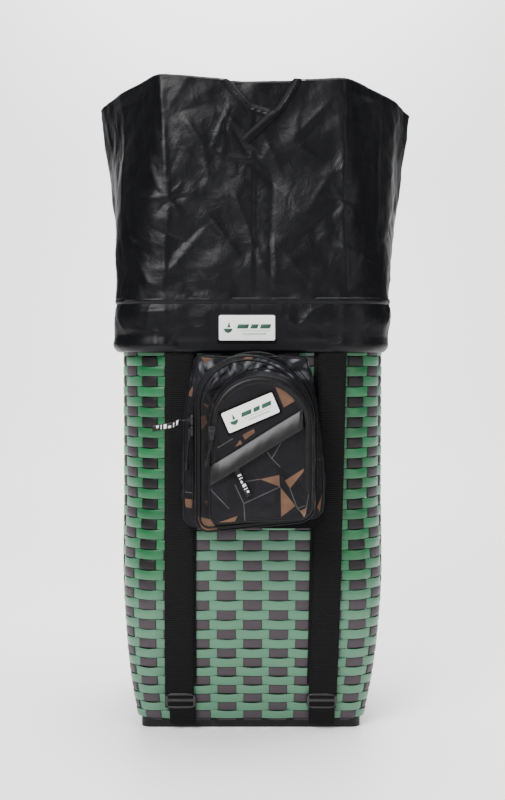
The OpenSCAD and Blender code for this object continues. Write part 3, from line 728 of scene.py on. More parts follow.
def makeWebbing(name, x, out, width, lowZ, highZ, lean=0.0, sway=0.5, seed=1, body="basket"):
    # Flat webbing on the front wall's curve: y = centre - sqrt(r squared - height below the bulge squared)
    z = np.linspace(lowZ, highZ, max(12, int((highZ - lowZ) / 5)))[:, None]
    across = np.array([-0.5, -0.485, -0.3, -0.1, 0.1, 0.3, 0.485, 0.5, 0.485, 0.3, -0.3, -0.485])[None]
    depth = np.array([0.5, 0.93, 1, 1, 1, 1, 0.93, 0.5, 0.05, 0, 0, 0.05])[None] * straps["thickness"]
    r = basket["frontCurve"] + out + depth
    drop = np.maximum(0, basket["bulgeZ"] - z)
    y = basket["frontCurve"] - basket["halfDepth"] - np.sqrt(r * r - drop * drop)
    y = y - 0.35 * (1 + softNoise(z / 3, across * 20, 40, seed, 2)) * (out > 3) * smoothStep(z, 62, 90)
    shift = x + lean * (z - 280) / 250 + sway * softNoise(z, z * 0, 260, seed + 1, 1)
    points = np.stack(np.broadcast_arrays(shift + across * width, y, z), -1)
    uv = np.stack(np.broadcast_arrays(np.append(across[0], -0.5)[None] * width * mm, z * mm), -1)
    return buildMesh(name, points * mm, False, True, uv, None, webbing, body=body)


for name, x, node, out, width, low, high, lean, seed in (
        ("leftStrap", -94, "left_strap", "out", 37.5, 30, 528, 1.2, 41),
        ("rightStrap", 97, "right_strap", "out", 36.5, 30, 528, 6.0, 42),
        ("leftTail", -89.5, "left_strap_tail", "tailOut", 35, 62, 528, 1.0, 43),
        ("rightTail", 92, "right_strap_tail", "tailOut", 34, 62, 528, 5.0, 44),
        ("leftAnchor", -91, "left_strap_anchor", "out", 34, 7, 34, 0, 45),
        ("rightAnchor", 90, "right_strap_anchor", "out", 34, 7, 34, 0, 46)):
    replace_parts(makeWebbing(name, x, straps[out], width, low, high, lean, 0.5, seed), node)


def makeBuckles():
    # Rounded ladder-lock plates: a domed block with its face sunk and one bar raised across it
    for name, x, node in (("leftBuckle", -93.5, "left_strap_slider"),
                          ("rightBuckle", 90.0, "right_strap_slider")):
        across = np.linspace(-1, 1, 60)[None, :]
        up = np.linspace(-1, 1, 60)[:, None]
        corner = np.clip((np.abs(across) ** 9 + np.abs(up) ** 5), 0, 1)
        dome = np.sqrt(np.clip(1 - corner, 0, 1))
        inner = smoothStep(np.abs(across), 0.88, 0.8) * smoothStep(np.abs(up), 0.76, 0.62)
        slots = np.exp(-((up - 0.08) / 0.17) ** 2)
        face = 3.6 * dome ** 0.5 - 2.0 * inner * dome + 1.1 * slots * inner * dome
        flat = np.sqrt(np.maximum(1e-9, 1 - 0.5 * (across * up) ** 4))
        wide, high = across * 20.2 * flat, up * 10.8 * flat
        z = 39.4 + high
        drop = np.maximum(0, basket["bulgeZ"] - z)
        wall = (basket["frontCurve"] - basket["halfDepth"]
                - np.sqrt((basket["frontCurve"] + straps["out"] - 0.6) ** 2 - drop * drop))
        front = np.stack(np.broadcast_arrays(x + wide, wall - face, z), -1)
        back = np.stack(np.broadcast_arrays(x + wide, wall + 0 * wide, z), -1)
        sheet = np.concatenate([back[:1], front, back[-1:]])
        made = buildMesh(name, sheet * mm, False, False, None, None, bucklePlastic, flip=False, body=node)
        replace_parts(made, node)


makeBuckles()
hangers = []
for side, x in (("Left", -48), ("Right", 50)):
    hangers.append(makeWebbing("hanger" + side, x, 7.3, 19.5, 477, 526, 0, 0, 47))
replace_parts(hangers[0], "pouch_hangers")
print("straps laid")
pouch = {"coilY": -194.1, "mainY": -180.9, "frontY": -213.9, "faceY": -235.6, "around": 260,
         "rear": [(-87, 284), (-78, 272), (0, 276), (80, 283), (89, 292), (90, 330), (88, 361),
                  (83.5, 400), (77.5, 439), (73.5, 463), (68, 486), (40, 488), (0, 488), (-36, 488),
                  (-69, 489), (-73, 474), (-76, 461), (-82, 442), (-87, 405)],
         "main": (3, 416, 75.4, 147, 20), "mainLip": (3, 416, 72.6, 146, 18), "mainLean": -9.0,
         "front": (10.5, 402, 64.0, 118, 14), "frontLip": (10.0, 402, 62.0, 118, 14), "frontRise": 7.0,
         "flapX": 6.5, "flapZ": 379.0, "flapTilt": 31.7, "flapWidth": 19.5,
         "fabric": (0.0018, 0.0017, 0.0026), "brown": (0.125, 0.066, 0.04), "pale": (0.12, 0.108, 0.105)}
# printed pattern: three-cornered shards and thin lines, in mm from the front's middle and from the floor
shards = [
    ((27.4, 452.2), (51.7, 441.5), (51.0, 433.9)), ((27.4, 452.2), (51.0, 433.9), (38.0, 426.3)),
    ((-12.2, 392.9), (1.5, 400.5), (3.0, 395.9)), ((-12.2, 392.9), (3.0, 395.9), (-9.1, 386.8)),
    ((-21.3, 378.4), (-12.2, 382.2), (-15.2, 386.8)), ((9.1, 338.9), (32.7, 344.2), (33.5, 329.7)),
    ((39.5, 337.3), (45.6, 327.4), (68.4, 355.6)), ((34.2, 329.0), (35.0, 292.5), (52.5, 306.2)),
    ((-43.4, 284.9), (-18.3, 294.0), (-22.8, 283.3)), ((-68.5, 290.6), (-52.4, 286.7), (-61.6, 271.3)),
    ((-52.4, 286.7), (-43.1, 274.4), (-61.6, 271.3)), ((-66.2, 413.0), (-58.5, 416.1), (-55.4, 406.9)),
    ((-66.2, 413.0), (-55.4, 406.9), (-63.1, 397.6)), ((-61.6, 430.7), (-53.9, 428.4), (-55.4, 423.8)),
    ((-60.1, 309.8), (-55.4, 309.8), (-55.4, 302.1)), ((-87.0, 309.1), (-75.4, 307.6), (-76.9, 296.6)),
    ((-87.0, 309.1), (-76.9, 296.6), (-84.2, 298.2)), ((-84.4, 439.0), (-74.4, 450.9), (-76.1, 437.5)),
    ((81.6, 298.2), (88.5, 315.9), (84.8, 291.4)), ((-14.0, 484.0), (2.0, 494.0), (-2.0, 481.0)),
    ((-66.0, 489.0), (-52.0, 486.0), (-58.0, 478.0)), ((58.0, 300.0), (66.0, 304.0), (64.0, 290.0)),
]
printLines = [[(-51.7, 389.1), (-44.1, 376.1), (-24.3, 388.3)], [(-10.6, 309.2), (33.5, 329.7)],
              [(-10.6, 309.2), (-21.3, 332.0)], [(-10.6, 309.2), (-9.1, 284.9)],
              [(18.3, 371.6), (23.6, 364.0), (35.0, 383.7)], [(23.6, 364.0), (33.5, 354.1)],
              [(-51.7, 326.7), (-28.9, 303.1)],
              [(45.6, 327.4), (54.8, 303.1), (63.9, 294.0), (68.4, 319.8)],
              [(54.8, 303.1), (63.9, 306.2)], [(-45.6, 426.3), (-35.0, 433.9), (-38.0, 441.5)],
              [(-15.2, 335.1), (9.1, 338.9)], [(78.5, 357.8), (93.5, 359.4)],
              [(-90.0, 318.0), (-76.0, 316.0)]]


def patternGroup():
    # Shards: least of the signed distances to a triangle's sides; lines: distance to the nearest segment
    group, given, result = newGroup("shardPrint", [("Vector", "Vector", None)],
                                    [("Shards", "Float"), ("Lines", "Float")])
    place = given.outputs["Vector"]
    vectorOf = lambda kind, first, second: addNode(group, "VectorMath", {0: first, 1: second}, operation=kind)
    best = None
    for corners in shards:
        corners = np.array(corners) * mm
        (ax, az), (bx, bz), (cx, cz) = corners
        if (bx - ax) * (cz - az) - (bz - az) * (cx - ax) < 0:
            corners = corners[::-1]
        inside = None
        for start, end in zip(corners, np.roll(corners, -1, 0)):
            nx, nz = np.array([-(end - start)[1], (end - start)[0]]) / np.linalg.norm(end - start)
            gap = vectorOf("DOT_PRODUCT", place, (nx, nz, 0)).outputs["Value"]
            gap = calc(group, "SUBTRACT", gap, float(nx * start[0] + nz * start[1]))
            inside = gap if inside is None else calc(group, "MINIMUM", inside, gap)
        best = inside if best is None else calc(group, "MAXIMUM", best, inside)
    near = None
    for line in printLines:
        for start, end in zip(line[:-1], line[1:]):
            a, d = np.array(start) * mm, (np.array(end) - np.array(start)) * mm
            fromStart = vectorOf("SUBTRACT", place, (*a, 0)).outputs[0]
            share = vectorOf("DOT_PRODUCT", fromStart, (*(d / (d @ d)), 0)).outputs["Value"]
            share = addNode(group, "Clamp", {"Value": share}).outputs[0]
            on = addNode(group, "VectorMath", {0: (*d, 0), "Scale": share}, operation="SCALE").outputs[0]
            gap = vectorOf("DISTANCE", fromStart, on).outputs["Value"]
            near = gap if near is None else calc(group, "MINIMUM", near, gap)
    group.links.new(ramp(group, best, -0.0003, 0.0004), result.inputs["Shards"])
    group.links.new(ramp(group, near, 0.00075, 0.0002), result.inputs["Lines"])
    return group


def printedMaterial():
    dark, brown = pouch["fabric"], pouch["brown"]
    material, tree, shader, where = newMaterial("printedFabric", dark, 0.4, Specular_IOR_Level=0.17)
    uv = where.outputs["UV"]
    marks = addNode(tree, "Group", {"Vector": uv}, node_tree=patternGroup())
    cloud = addNode(tree, "TexNoise", {"Vector": uv, "Scale": 42.0, "Detail": 3.0,
                                       "Roughness": 0.6}).outputs["Fac"]
    facets = addNode(tree, "TexVoronoi", {"Vector": uv, "Scale": 34.0})   # faint larger facets in the print
    grey = addNode(tree, "SeparateColor", {0: facets.outputs["Color"]}).outputs[0]
    base = mixColor(tree, grey, dark, tuple(value * 2.6 for value in dark))
    tone = addNode(tree, "Attribute", attribute_name="tone").outputs["Fac"]
    # painted highlight: pale grey where the shine tone marks rumpled fabric catching the light
    base = mixColor(tree, ramp(tree, tone, 0.3, 0.85), base, (0.16, 0.165, 0.19))
    browns = [tuple(value * share for value in brown) for share in (0.3, 1.3)]
    base = mixColor(tree, marks.outputs["Shards"], base, mixColor(tree, cloud, *browns))
    base = mixColor(tree, calc(tree, "MULTIPLY", marks.outputs["Lines"], cloud), base, pouch["pale"])
    # the zip tape beside the pocket stays dark
    base = mixColor(tree, ramp(tree, tone, 0.3, 0.0), base, (0.003, 0.003, 0.0035))
    tree.links.new(base, shader.inputs["Base Color"])
    tree.links.new(ramp(tree, cloud, start=0.36, end=0.56), shader.inputs["Roughness"])
    weave = useGroup(tree, plainWeave, {"Vector": uv, "Threads": 1300.0})
    normal = addBump(tree, shader, weave, 0.00008, 0.5)
    rumple = addNode(tree, "TexNoise", {"Vector": uv, "Scale": 60.0, "Detail": 3.0, "Distortion": 0.5})
    addBump(tree, shader, rumple.outputs["Fac"], 0.0006, 1.0, normal)
    return material


def leatherMaterial():
    dark = (0.003, 0.003, 0.0034)
    material, tree, shader, where = newMaterial("flapLeather", dark, 0.38, Specular_IOR_Level=0.34)
    place = where.outputs["Object"]
    addBump(tree, shader, useGroup(tree, pebbleGrain, {"Vector": place, "Scale": 1100.0}), 0.0001, 0.45)
    worn = useGroup(tree, wearMask, {"Vector": place, "Scale": 60.0, "Amount": 0.2})
    tree.links.new(mixColor(tree, worn, dark, (0.009, 0.009, 0.0095)), shader.inputs["Base Color"])
    return material


printed, flapLeather = printedMaterial(), leatherMaterial()
piping = clothMaterial("piping", (0.0025, 0.0025, 0.003), 0.45, threads=600.0, sheen=0.0, specular=0.18)


def archLine(x, z, r, legs, corner, rise=0.0, lean=0.0, slope=0.0):
    # Half round on straight legs with rounded lower corners; slope lifts the lower edge to the right
    low = np.linspace(0, np.pi / 2, 9)
    left = np.stack([-r + corner * (1 - np.cos(low[::-1])), -legs + corner * (1 - np.sin(low[::-1]))], -1)
    turn = np.linspace(0, np.pi, 60)
    top = np.stack([r * np.cos(turn) + lean * np.sin(turn), (r + rise) * np.sin(turn)], -1)
    line = np.concatenate([top, left[::-1], left * (-1, 1)])
    line[:, 1] += slope * (line[:, 0] + r) * smoothStep(line[:, 1], -legs + 50, -legs)
    return resample(line + (x, z), pouch["around"], True)


def softLine(points, count, passes=3):
    line = resample(points, count, True)
    for _ in range(passes):
        line = (np.roll(line, 1, 0) + line * 2 + np.roll(line, -1, 0)) / 4
    return line


def lineNormal(line):
    step = np.roll(line, -1, 0) - np.roll(line, 1, 0)
    normal = np.stack([step[:, 1], -step[:, 0]], -1) / np.linalg.norm(step, axis=1, keepdims=True)
    centre = line.mean(0)
    return normal * np.sign(((line - centre) * normal).sum())


def makePillow(name, back, front, backY, faceY, edge, belly, faceLift, sideLift):
    # Closed padded box: back face, gusset from back to front outline with a belly, round edge, face.
    # faceLift and sideLift give wrinkle heights in mm from (x, z) and from (distance round, depth).
    centre = front.mean(0)
    normal = lineNormal(front)
    around = np.linspace(0, 1, len(front), endpoint=False) * 480
    rings, uvs = [], []

    def put(line, y, flat):
        rings.append(np.stack([line[:, 0], np.broadcast_to(y, len(line)), line[:, 1]], -1))
        uvs.append(flat)

    depth = backY - faceY - edge
    for share in (0.0, 0.4, 0.8, 0.97):
        put(centre + (back - centre) * share, backY, front + normal * (depth + edge * 1.6 + 60 * (1 - share)))
    for t in np.linspace(0, 1, 22):
        bulge = belly * np.sin(np.pi * t) ** 0.8 + sideLift(around, t * depth) * np.sin(np.pi * min(t, 1))
        line = back + (front - back) * t + normal * bulge[:, None]
        put(line, backY - 0.3 - depth * t, front + normal * (depth * (1 - t) + edge * 0.57))
    for turn in np.linspace(0, np.pi / 2, 7)[1:]:
        inset = normal * edge * (1 - math.cos(turn))
        flat = front + normal * edge * 0.57 * (1 - turn * 2 / np.pi) - inset
        put(front - inset, faceY + edge * (1 - math.sin(turn)), flat)
    inner = front - normal * edge
    for share in 1 - np.linspace(0, 1, 60)[1:] ** 1.5:
        line = centre + (inner - centre) * share
        mask = smoothStep(1 - share, 0, 0.12)
        put(line, faceY - faceLift(line[:, 0], line[:, 1]) * mask, line)
    points, uv = np.stack(rings), np.stack(uvs)
    uv = np.concatenate([uv, uv[:, :1]], 1) * mm
    shine = np.stack([shineAt(ring[:, 0], ring[:, 2], ring[:, 1]) for ring in points])
    return buildMesh(name, points * mm, False, True, uv, shine, printed, body="pouch")


def shineAt(x, z, y):
    # Rumpled fabric catches the light: over the front pocket, and at the top corners behind
    lean = pouch["mainLean"] * np.sqrt(np.clip(1 - ((z - 492) / 76) ** 2, 0, 1)) * (z > 416)
    arch = np.hypot(x - 3 - lean * 0.5, z - 416)
    over = (smoothStep(arch, 52, 60) * (1 - smoothStep(arch, 69, 72)) * smoothStep(z, 452, 472)
            * (np.abs(y + 214) < 6))
    ears = smoothStep(np.abs(x - 1), 40, 56) * smoothStep(z, 452, 476) * (y > -192)
    angle = np.arctan2(z - 416, x - 3) * 62
    # streaks across the arch
    glint = np.clip(0.14 + 1.4 * softNoise(angle + 0.5 * arch, arch * 0.35, 15, 71, 3), 0, 1) ** 1.3
    dark = ((1 - smoothStep(x, -54, -50)) * (1 - smoothStep(z, 425, 450)) * smoothStep(z, 282, 296)
            * (np.abs(y + 214) < 3))
    return 0.3 + (over * 0.5 + ears * 0.6) * glint - 0.22 * dark


def makePouch():
    rearLine = softLine(pouch["rear"], pouch["around"])
    earWrinkles = randomCreases(51, 90, (-92, 430), (92, 492), (8, 30), (0.9, 2.6), (1.1, 2.4))
    sideWrinkles = randomCreases(52, 80, (0, 0), (480, 30), (8, 24), (0.4, 1.3), (1.2, 3.0))
    rearFace = lambda x, z: (creaseField(x, z, earWrinkles) * smoothStep(z, 425, 455)
                             + 0.9 * softNoise(x, z, 46, 53, 2))
    rearSide = lambda s, d: creaseField(s, d + 0 * s, sideWrinkles) + 1.1 * softNoise(s, d + 0 * s, 50, 54, 2)
    # cut back so that the top clears the band when it swings
    rearBack = np.stack([rearLine[:, 0], np.minimum(rearLine[:, 1], 484.2)], -1)
    rear = makePillow("pouchRear", rearBack, rearLine, -159.2, pouch["mainY"] - 1.5, 3.6, 2.4, rearFace,
                      rearSide)
    mainBack = archLine(*pouch["main"], lean=pouch["mainLean"], slope=0.1)
    mainFront = archLine(*pouch["mainLip"], lean=pouch["mainLean"], slope=0.1)
    folds = [(-62, 436, -46, 468, 3.4, 2.6), (-50, 452, -30, 476, 3.6, 2.4),
             (-36, 484, -24, 462, 4.2, 2.4), (-24, 486, -14, 464, -3.4, 2.4),
             (-14, 486, -2, 466, 4.2, 2.6), (-6, 478, 20, 486, 4.0, 2.6), (8, 482, 20, 468, -3.6, 2.2),
             (16, 486, 42, 470, 3.8, 2.6), (34, 480, 60, 450, 3.4, 2.6), (-4, 470, 30, 473, -3.0, 2.4),
             (-48, 460, -32, 466, -3.2, 2.2), (46, 472, 60, 452, -3.0, 2.2),
             (-58, 446, -40, 452, 2.6, 2.2)]
    fine = randomCreases(55, 110, (-74, 420), (80, 490), (6, 20), (0.8, 2.2), (0.9, 1.9))
    zone = lambda x, z: smoothStep(np.hypot(x - 3, z - 416), 48, 58)
    mainFace = lambda x, z: ((creaseField(x, z, folds) + creaseField(x, z, fine)) * zone(x, z)
                             * smoothStep(z, 420, 450) + 0.6 * softNoise(x, z, 30, 56, 2))
    mainSide = lambda s, d: (0.8 * softNoise(s, d + 0 * s, 42, 57, 2)
                             + 0.6 * creaseField(s, d + 0 * s, sideWrinkles))
    main = makePillow("pouchMain", mainBack, mainFront, pouch["mainY"] + 1, pouch["frontY"] + 0.6, 2.4, 1.4,
                      mainFace, mainSide)
    frontBack = archLine(*pouch["front"], rise=pouch["frontRise"], slope=0.055)
    frontFront = archLine(*pouch["frontLip"], slope=0.055)
    low = randomCreases(58, 26, (-50, 288), (70, 345), (12, 40), (0.25, 0.8), (2.5, 6.0))
    swell = lambda x, z: 2.4 * np.exp(-((x - 12) / 40) ** 2 - ((z - 316) / 26) ** 2)
    frontFace = lambda x, z: ((creaseField(x, z, low) + 0.5 * softNoise(x, z, 52, 59, 2))
                              * (1 - smoothStep(z, 336, 362)) + swell(x, z) - 0.25)
    frontSide = lambda s, d: (0.6 * softNoise(s, d + 0 * s, 36, 60, 2)
                              + 0.5 * creaseField(s, d + 0 * s, sideWrinkles))
    front = makePillow("pouchFront", frontBack, frontFront, pouch["frontY"] + 1, pouch["faceY"], 3.0, 0.9,
                       frontFace, frontSide)
    made = {"rear": rear, "main": main, "front": front}
    atY = lambda line, y: np.stack([line[:, 0], np.broadcast_to(y, len(line)), line[:, 1]], -1) * mm
    pipes = (("pipeRear", rearLine - lineNormal(rearLine) * 1.2, pouch["mainY"] - 0.6, 1.1),
             ("pipeMain", mainFront + lineNormal(mainFront) * 0.2, pouch["frontY"] + 1.8, 1.35),
             ("pipeInner", mainFront - lineNormal(mainFront) * 4.6, pouch["frontY"] + 0.2, 1.25),
             ("pipeBehind", frontBack + lineNormal(frontBack) * 0.4, pouch["frontY"] - 0.4, 1.1),
             ("pipeFront", frontFront + lineNormal(frontFront) * 0.1, pouch["faceY"] + 1.7, 1.35))
    for name, line, y, radius in pipes:
        made[name] = buildMesh(name, tube(resample(atY(line, y), 220, True), radius * mm, 8, True), True,
                               True, None, None, piping, body="pouch")
    return made


pouchParts = makePouch()
for part, node, slot in (("rear", "pouch_rear_shell", "patterned_fabric"),
                         ("main", "pouch_main_shell", "patterned_fabric"),
                         ("front", "pouch_front_shell", "patterned_fabric")):
    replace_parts(pouchParts[part], node)
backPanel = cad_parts["pouch_back_panel"]
backPanel.data.materials.clear()
backPanel.data.materials.append(blackFelt)


def makeCoil(name, path, out, width, node):
    # Zip: a flat tape with two rows of teeth; path and out are in metres, teeth every 1.5 mm on each row
    count = int(np.linalg.norm(np.diff(path, axis=0), axis=1).sum() / 0.0015) * 4
    line, lift = resample(path, count), resample(path + out, count)
    lift = unit(lift - line)
    ahead = np.gradient(line, axis=0)
    side = unit(np.cross(ahead, lift))
    phase = np.arange(count) / 4 * 2 * np.pi
    across = np.array([-0.5, -0.47, -0.26, -0.22, -0.12, -0.03, 0.03, 0.12, 0.22, 0.26, 0.47, 0.5])
    left = 0.45 + 0.75 * (np.cos(phase) > 0)
    right = 0.45 + 0.75 * (np.sin(phase) > 0)
    low = np.full(count, 0.35)
    height = np.stack([low * 0, low, low, left * 0.6 + 0.2, left + 0.3, left * 0.7, right * 0.7,
                       right + 0.3, right * 0.6 + 0.2, low, low, low * 0], 1)
    points = (line[:, None] + side[:, None] * (across * width * mm)[None, :, None]
              + lift[:, None] * (height * mm)[..., None])
    made = buildMesh(name, points, False, False, None, None, zipCoil, body="pouch")
    normal = np.cross(points[1, 0] - points[0, 0], points[0, 5] - points[0, 0])
    if normal @ lift[0] < 0:
        made.data.flip_normals()
    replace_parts(made, node)


def makeZips():
    x, z, r = 3, 416, 77.0
    turn = np.linspace(np.pi, 0, 80)
    arc = np.stack([x + r * np.cos(turn), np.full(80, pouch["coilY"]), z + r * np.sin(turn)], -1)
    path = np.concatenate([[[x - r, pouch["coilY"], 298]], arc, [[x + r, pouch["coilY"], 326]]])
    out = path - (x, pouch["coilY"], 0)
    out = np.stack([out[:, 0], out[:, 1] * 0, np.maximum(0, path[:, 2] - z)], -1)
    makeCoil("mainCoil", path * mm, unit(out) * mm, 9.0, "main_zip_coil")
    x, z, r = 10.0, 402, 56.8
    path = np.concatenate([[[x - r, 0, 342]],
                           np.stack([x + r * np.cos(turn), turn * 0, z + r * np.sin(turn)], -1),
                           [[x + r, 0, 322]]])
    path[:, 1] = pouch["faceY"] - 0.1
    makeCoil("frontCoil", path * mm, np.broadcast_to([0, -mm, 0], path.shape), 8.4, "front_zip_coil")
    tilt = math.radians(pouch["flapTilt"])
    along = np.array([-56.0, 57.0])[:, None]
    start = np.array([pouch["flapX"] + 4.5 * math.sin(tilt), pouch["faceY"] - 0.1,
                      pouch["flapZ"] - 4.5 * math.cos(tilt)])
    path = start + along * np.array([math.cos(tilt), 0, math.sin(tilt)])
    makeCoil("slantCoil", path * mm, np.broadcast_to([0, -mm, 0], path.shape), 7.0, "slant_zip_coil")


makeZips()


def makeFlap():
    # Domed strip across the front: y = face - lift, from the seam along its top edge to its free lower edge
    tilt = math.radians(pouch["flapTilt"])
    x = np.linspace(-51.5, 61.0, 140)[:, None]
    across = np.linspace(0.5, -0.5, 26)[None]
    b = across * pouch["flapWidth"] + 0.25 * np.sin(x / 17)
    a = (x - pouch["flapX"] + b * math.sin(tilt)) / math.cos(tilt)
    z = pouch["flapZ"] + a * math.sin(tilt) + b * math.cos(tilt)
    rise = 1.1 + 5.2 * (1 - (across + 0.5) ** 2) + 0.7 * smoothStep(x, 20, 45)
    ends = np.minimum(smoothStep(x, -54, -38), 1 - smoothStep(x, 57, 64))
    lift = rise * (0.35 + 0.65 * ends) + 0.35 * softNoise(x, b, 34, 61, 2)
    points = np.stack([x + 0 * across, pouch["faceY"] - lift, z], -1)
    uv = np.stack(np.broadcast_arrays(a, b), -1) * mm
    made = buildMesh("slantFlapCloth", points * mm, False, False, uv, None, flapLeather, flip=False,
                     body="pouch")
    if np.cross(points[1, 0] - points[0, 0], points[0, 1] - points[0, 0])[1] > 0:
        made.data.flip_normals()
    thicken(made, 1.1)
    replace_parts(made, "slant_flap")
    for label, row, radius in (("Seam", 0, 1.0), ("Lip", 25, 0.7)):
        line = points[:, row] * mm + np.array([0, 0.3, 0]) * mm
        tubing = tube(line, radius * mm, 8)
        buildMesh("flap" + label, tubing, False, True, None, None, piping, body="pouch")


makeFlap()
print("pouch sewn")


markInk = {"dark": plasticMaterial("darkInk", (0.015, 0.06, 0.04), 0.5, scuff=0.05),
           "pale": plasticMaterial("paleInk", (0.42, 0.5, 0.46), 0.5, scuff=0.05),
           "white": plasticMaterial("whiteInk", (0.75, 0.75, 0.74), 0.5, scuff=0.1)}


def makeMarks(name, origin, right, up, marks, ink, body):
    # Thin raised outlines in a plane: each mark is a list of (right, up) points in mm, closed to its middle
    right, up = np.array(right, float), np.array(up, float)
    normal = np.cross(right, up)
    rings = []
    for mark in marks:
        line = resample(mark, 24, True)
        centre = line.mean(0)
        place = lambda flat, out: np.array(origin) + flat[:, :1] * right + flat[:, 1:] * up + normal * out
        rings.append(np.stack([place(line, -0.2), place(line, 0.14),
                               place(centre + (line - centre) * 0.5, 0.16),
                               place(centre + (line - centre) * 0.01, 0.16)]))
    return buildMesh(name, np.stack(rings) * mm, False, True, None, None, markInk[ink], body=body)


def bar(x, z, width, height, lean=0.0):
    return [(x, z), (x + width, z), (x + width + lean, z + height), (x + lean, z + height)]


for name, origin, tilt, scale, body in (("bandMark", (-7, -163.4, 524), 0, 1.0, "basket"),
                                        ("pouchMark", (-2.5, -238.4, 420), 23, 0.93, "pouch")):
    turn = math.radians(tilt)
    right = (math.cos(turn) * scale, 0, math.sin(turn) * scale)
    up = (-math.sin(turn) * scale, 0, math.cos(turn) * scale)
    makeMarks(name + "Dark", origin, right, up,
              [bar(-13, -1, 14, 5.5, 2), bar(4, -1, 9, 5.5, 2), bar(16, -1, 13, 5.5, 2),
               [(-30, -1), (-18, -1), (-20, -5), (-24, -7), (-28, -5)],
               [(-25, 0.5), (-21, 0.5), (-22.6, 8)]], "dark", body)
    makeMarks(name + "Pale", origin, right, up, [bar(-12, -4.2, 42, 1.0, 0), bar(-6, -8.6, 30, 2.2, 0)],
              "pale", body)


def makeTapes():
    # Fabric pulls: one turned a quarter after its tab and lying out to the left, one hanging under the flap
    t = np.linspace(0, 1, 60)
    turn = np.pi / 2 * (1 - smoothStep(t, 0.0, 0.14))
    centre = np.stack([-88.4 - 36.5 * t, pouch["coilY"] - 3.0 * np.sin(np.pi * t * 0.9),
                       408.6 - 4.5 * smoothStep(t, 0.0, 0.3) - 6.0 * t], -1)
    upperSide = np.stack([0 * t, -np.sin(turn), np.cos(turn)], -1)
    along = np.array([math.sin(math.radians(25.7)), 0, -math.cos(math.radians(25.7))])
    slantStart = np.array([-21.76, pouch["faceY"] - 3.9, 356.25]) + along * 8.6
    slantCentre = (slantStart + along * (t * 33)[:, None]
                   + np.array([0, -1, 0]) * (1.6 * t + 1.2 * np.sin(np.pi * t))[:, None])
    twist = 0.25 * np.sin(t * 4)[:, None]
    flatSide = np.broadcast_to([-along[2], 0, along[0]], (60, 3))
    slantSide = flatSide * np.cos(twist) + np.array([0, 1, 0]) * np.sin(twist)
    for name, line, side, width, body in (("upperTape", centre, upperSide, 8.0, "main_upper_pull"),
                                          ("slantTape", slantCentre, slantSide, 7.0, "slant_pull")):
        normal = np.cross(side, np.gradient(line, axis=0))
        normal = unit(normal)
        if normal[-1, 1] > 0:
            normal = -normal
        across = np.array([-0.5, -0.46, 0, 0.46, 0.5, 0.46, 0, -0.46])
        out = np.array([0, 0.5, 0.62, 0.5, 0, -0.5, -0.62, -0.5])
        points = (line[:, None] + side[:, None] * (across * width)[None, :, None]
                  + normal[:, None] * out[None, :, None])
        cap = line[[0, -1]][:, None] + (points[[0, -1]] - line[[0, -1]][:, None]) * 0.02
        points = np.concatenate([cap[:1], points, cap[1:]])
        tape = buildMesh(name, points * mm, False, True, None, None, pullRubber, body=body)
        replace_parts(tape, body + "_tape")
        at = lambda share: int(share * 59)
        rings = []
        for first, last, low, high in ((0.12, 0.2, -0.34, 0.34), (0.26, 0.3, -0.34, 0.34),
                                       (0.36, 0.46, -0.34, 0.0), (0.52, 0.62, -0.34, 0.34),
                                       (0.68, 0.72, -0.34, 0.34), (0.78, 0.88, -0.05, 0.34)):
            ends = ((first, low), (last, low), (last, high), (first, high))
            corners = np.stack([line[at(share)] + side[at(share)] * width * step + normal[at(share)] * 0.5
                                for share, step in ends])
            out = normal[at(first)]
            middle = corners.mean(0) + out * 0.22
            rings.append(np.stack([corners - out * 0.3, corners + out * 0.2,
                                   middle + (corners - middle) * 0.02]))
        buildMesh(name + "Marks", np.stack(rings) * mm, False, True, None, None, markInk["white"], body=body)


makeTapes()
print("marks and tapes made")


hardParts = {
    "base_tray": (basePlastic, "base_plastic", 0.8), "base_board": (boardPlastic, "base_board", 0.5),
    "band_patch_backing": (blackFelt, "black_felt", 0.3), "band_patch": (whiteRubber, "white_patch", 0.4),
    "pouch_patch_backing": (blackFelt, "black_felt", 0.3), "pouch_patch": (whiteRubber, "white_patch", 0.4),
}
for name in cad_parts:
    if name.endswith("zip_slider") or name.endswith("pull_tab"):
        hardParts[name] = (zipMetal, "zip_metal", 0.25)
    elif name.endswith("pull_grip"):
        hardParts[name] = (pullRubber, "pull_rubber", 0.3)
around = np.arange(160) / 160
hoopQuarter = 175.0 + 153.0 - 2 * 82.0 + np.pi * 41.0
lap = np.mod(around * 4, 2)
hoopShape = quarterPoint(175.0, 153.0, 82.0, hoopQuarter * np.minimum(lap, 2 - lap))
hoopX = hoopShape[0] * np.where(around < 0.5, 1, -1)
hoopY = hoopShape[1] * np.where((around > 0.25) & (around < 0.75), -1, 1)
hoopLine = np.stack([hoopX, hoopY, 546 + around * 0], -1)
hoop = buildMesh("rimRod", tube(hoopLine * mm, 0.0026, 10, True), True, True, None, None, rodPlastic,
                 body="basket")
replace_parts(hoop, "rim_hoop")
for name, (material, slot, bevel) in hardParts.items():
    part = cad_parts[name]
    if name == "base_tray":   # a new piece, spread to the left with the foot of the wall
        shape = part.data.copy()
        place = np.zeros(len(shape.vertices) * 3, np.float32)
        shape.vertices.foreach_get("co", place)
        place = place.reshape(-1, 3)
        place[:, 0] -= 0.0046 * smoothStep(-place[:, 0], 0, 0.14)
        shape.vertices.foreach_set("co", place.ravel())
        tray = bpy.data.objects.new("trayShown", shape)
        bpy.context.scene.collection.objects.link(tray)
        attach(tray, "basket")
        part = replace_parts(tray, name)
    part.data.materials.clear()
    part.data.materials.append(material)
    if bevel:
        rounding = part.modifiers.new("edges", "BEVEL")
        rounding.width, rounding.segments, rounding.limit_method = bevel * mm, 2, "ANGLE"
        rounding.harden_normals = False
print("hard parts finished")


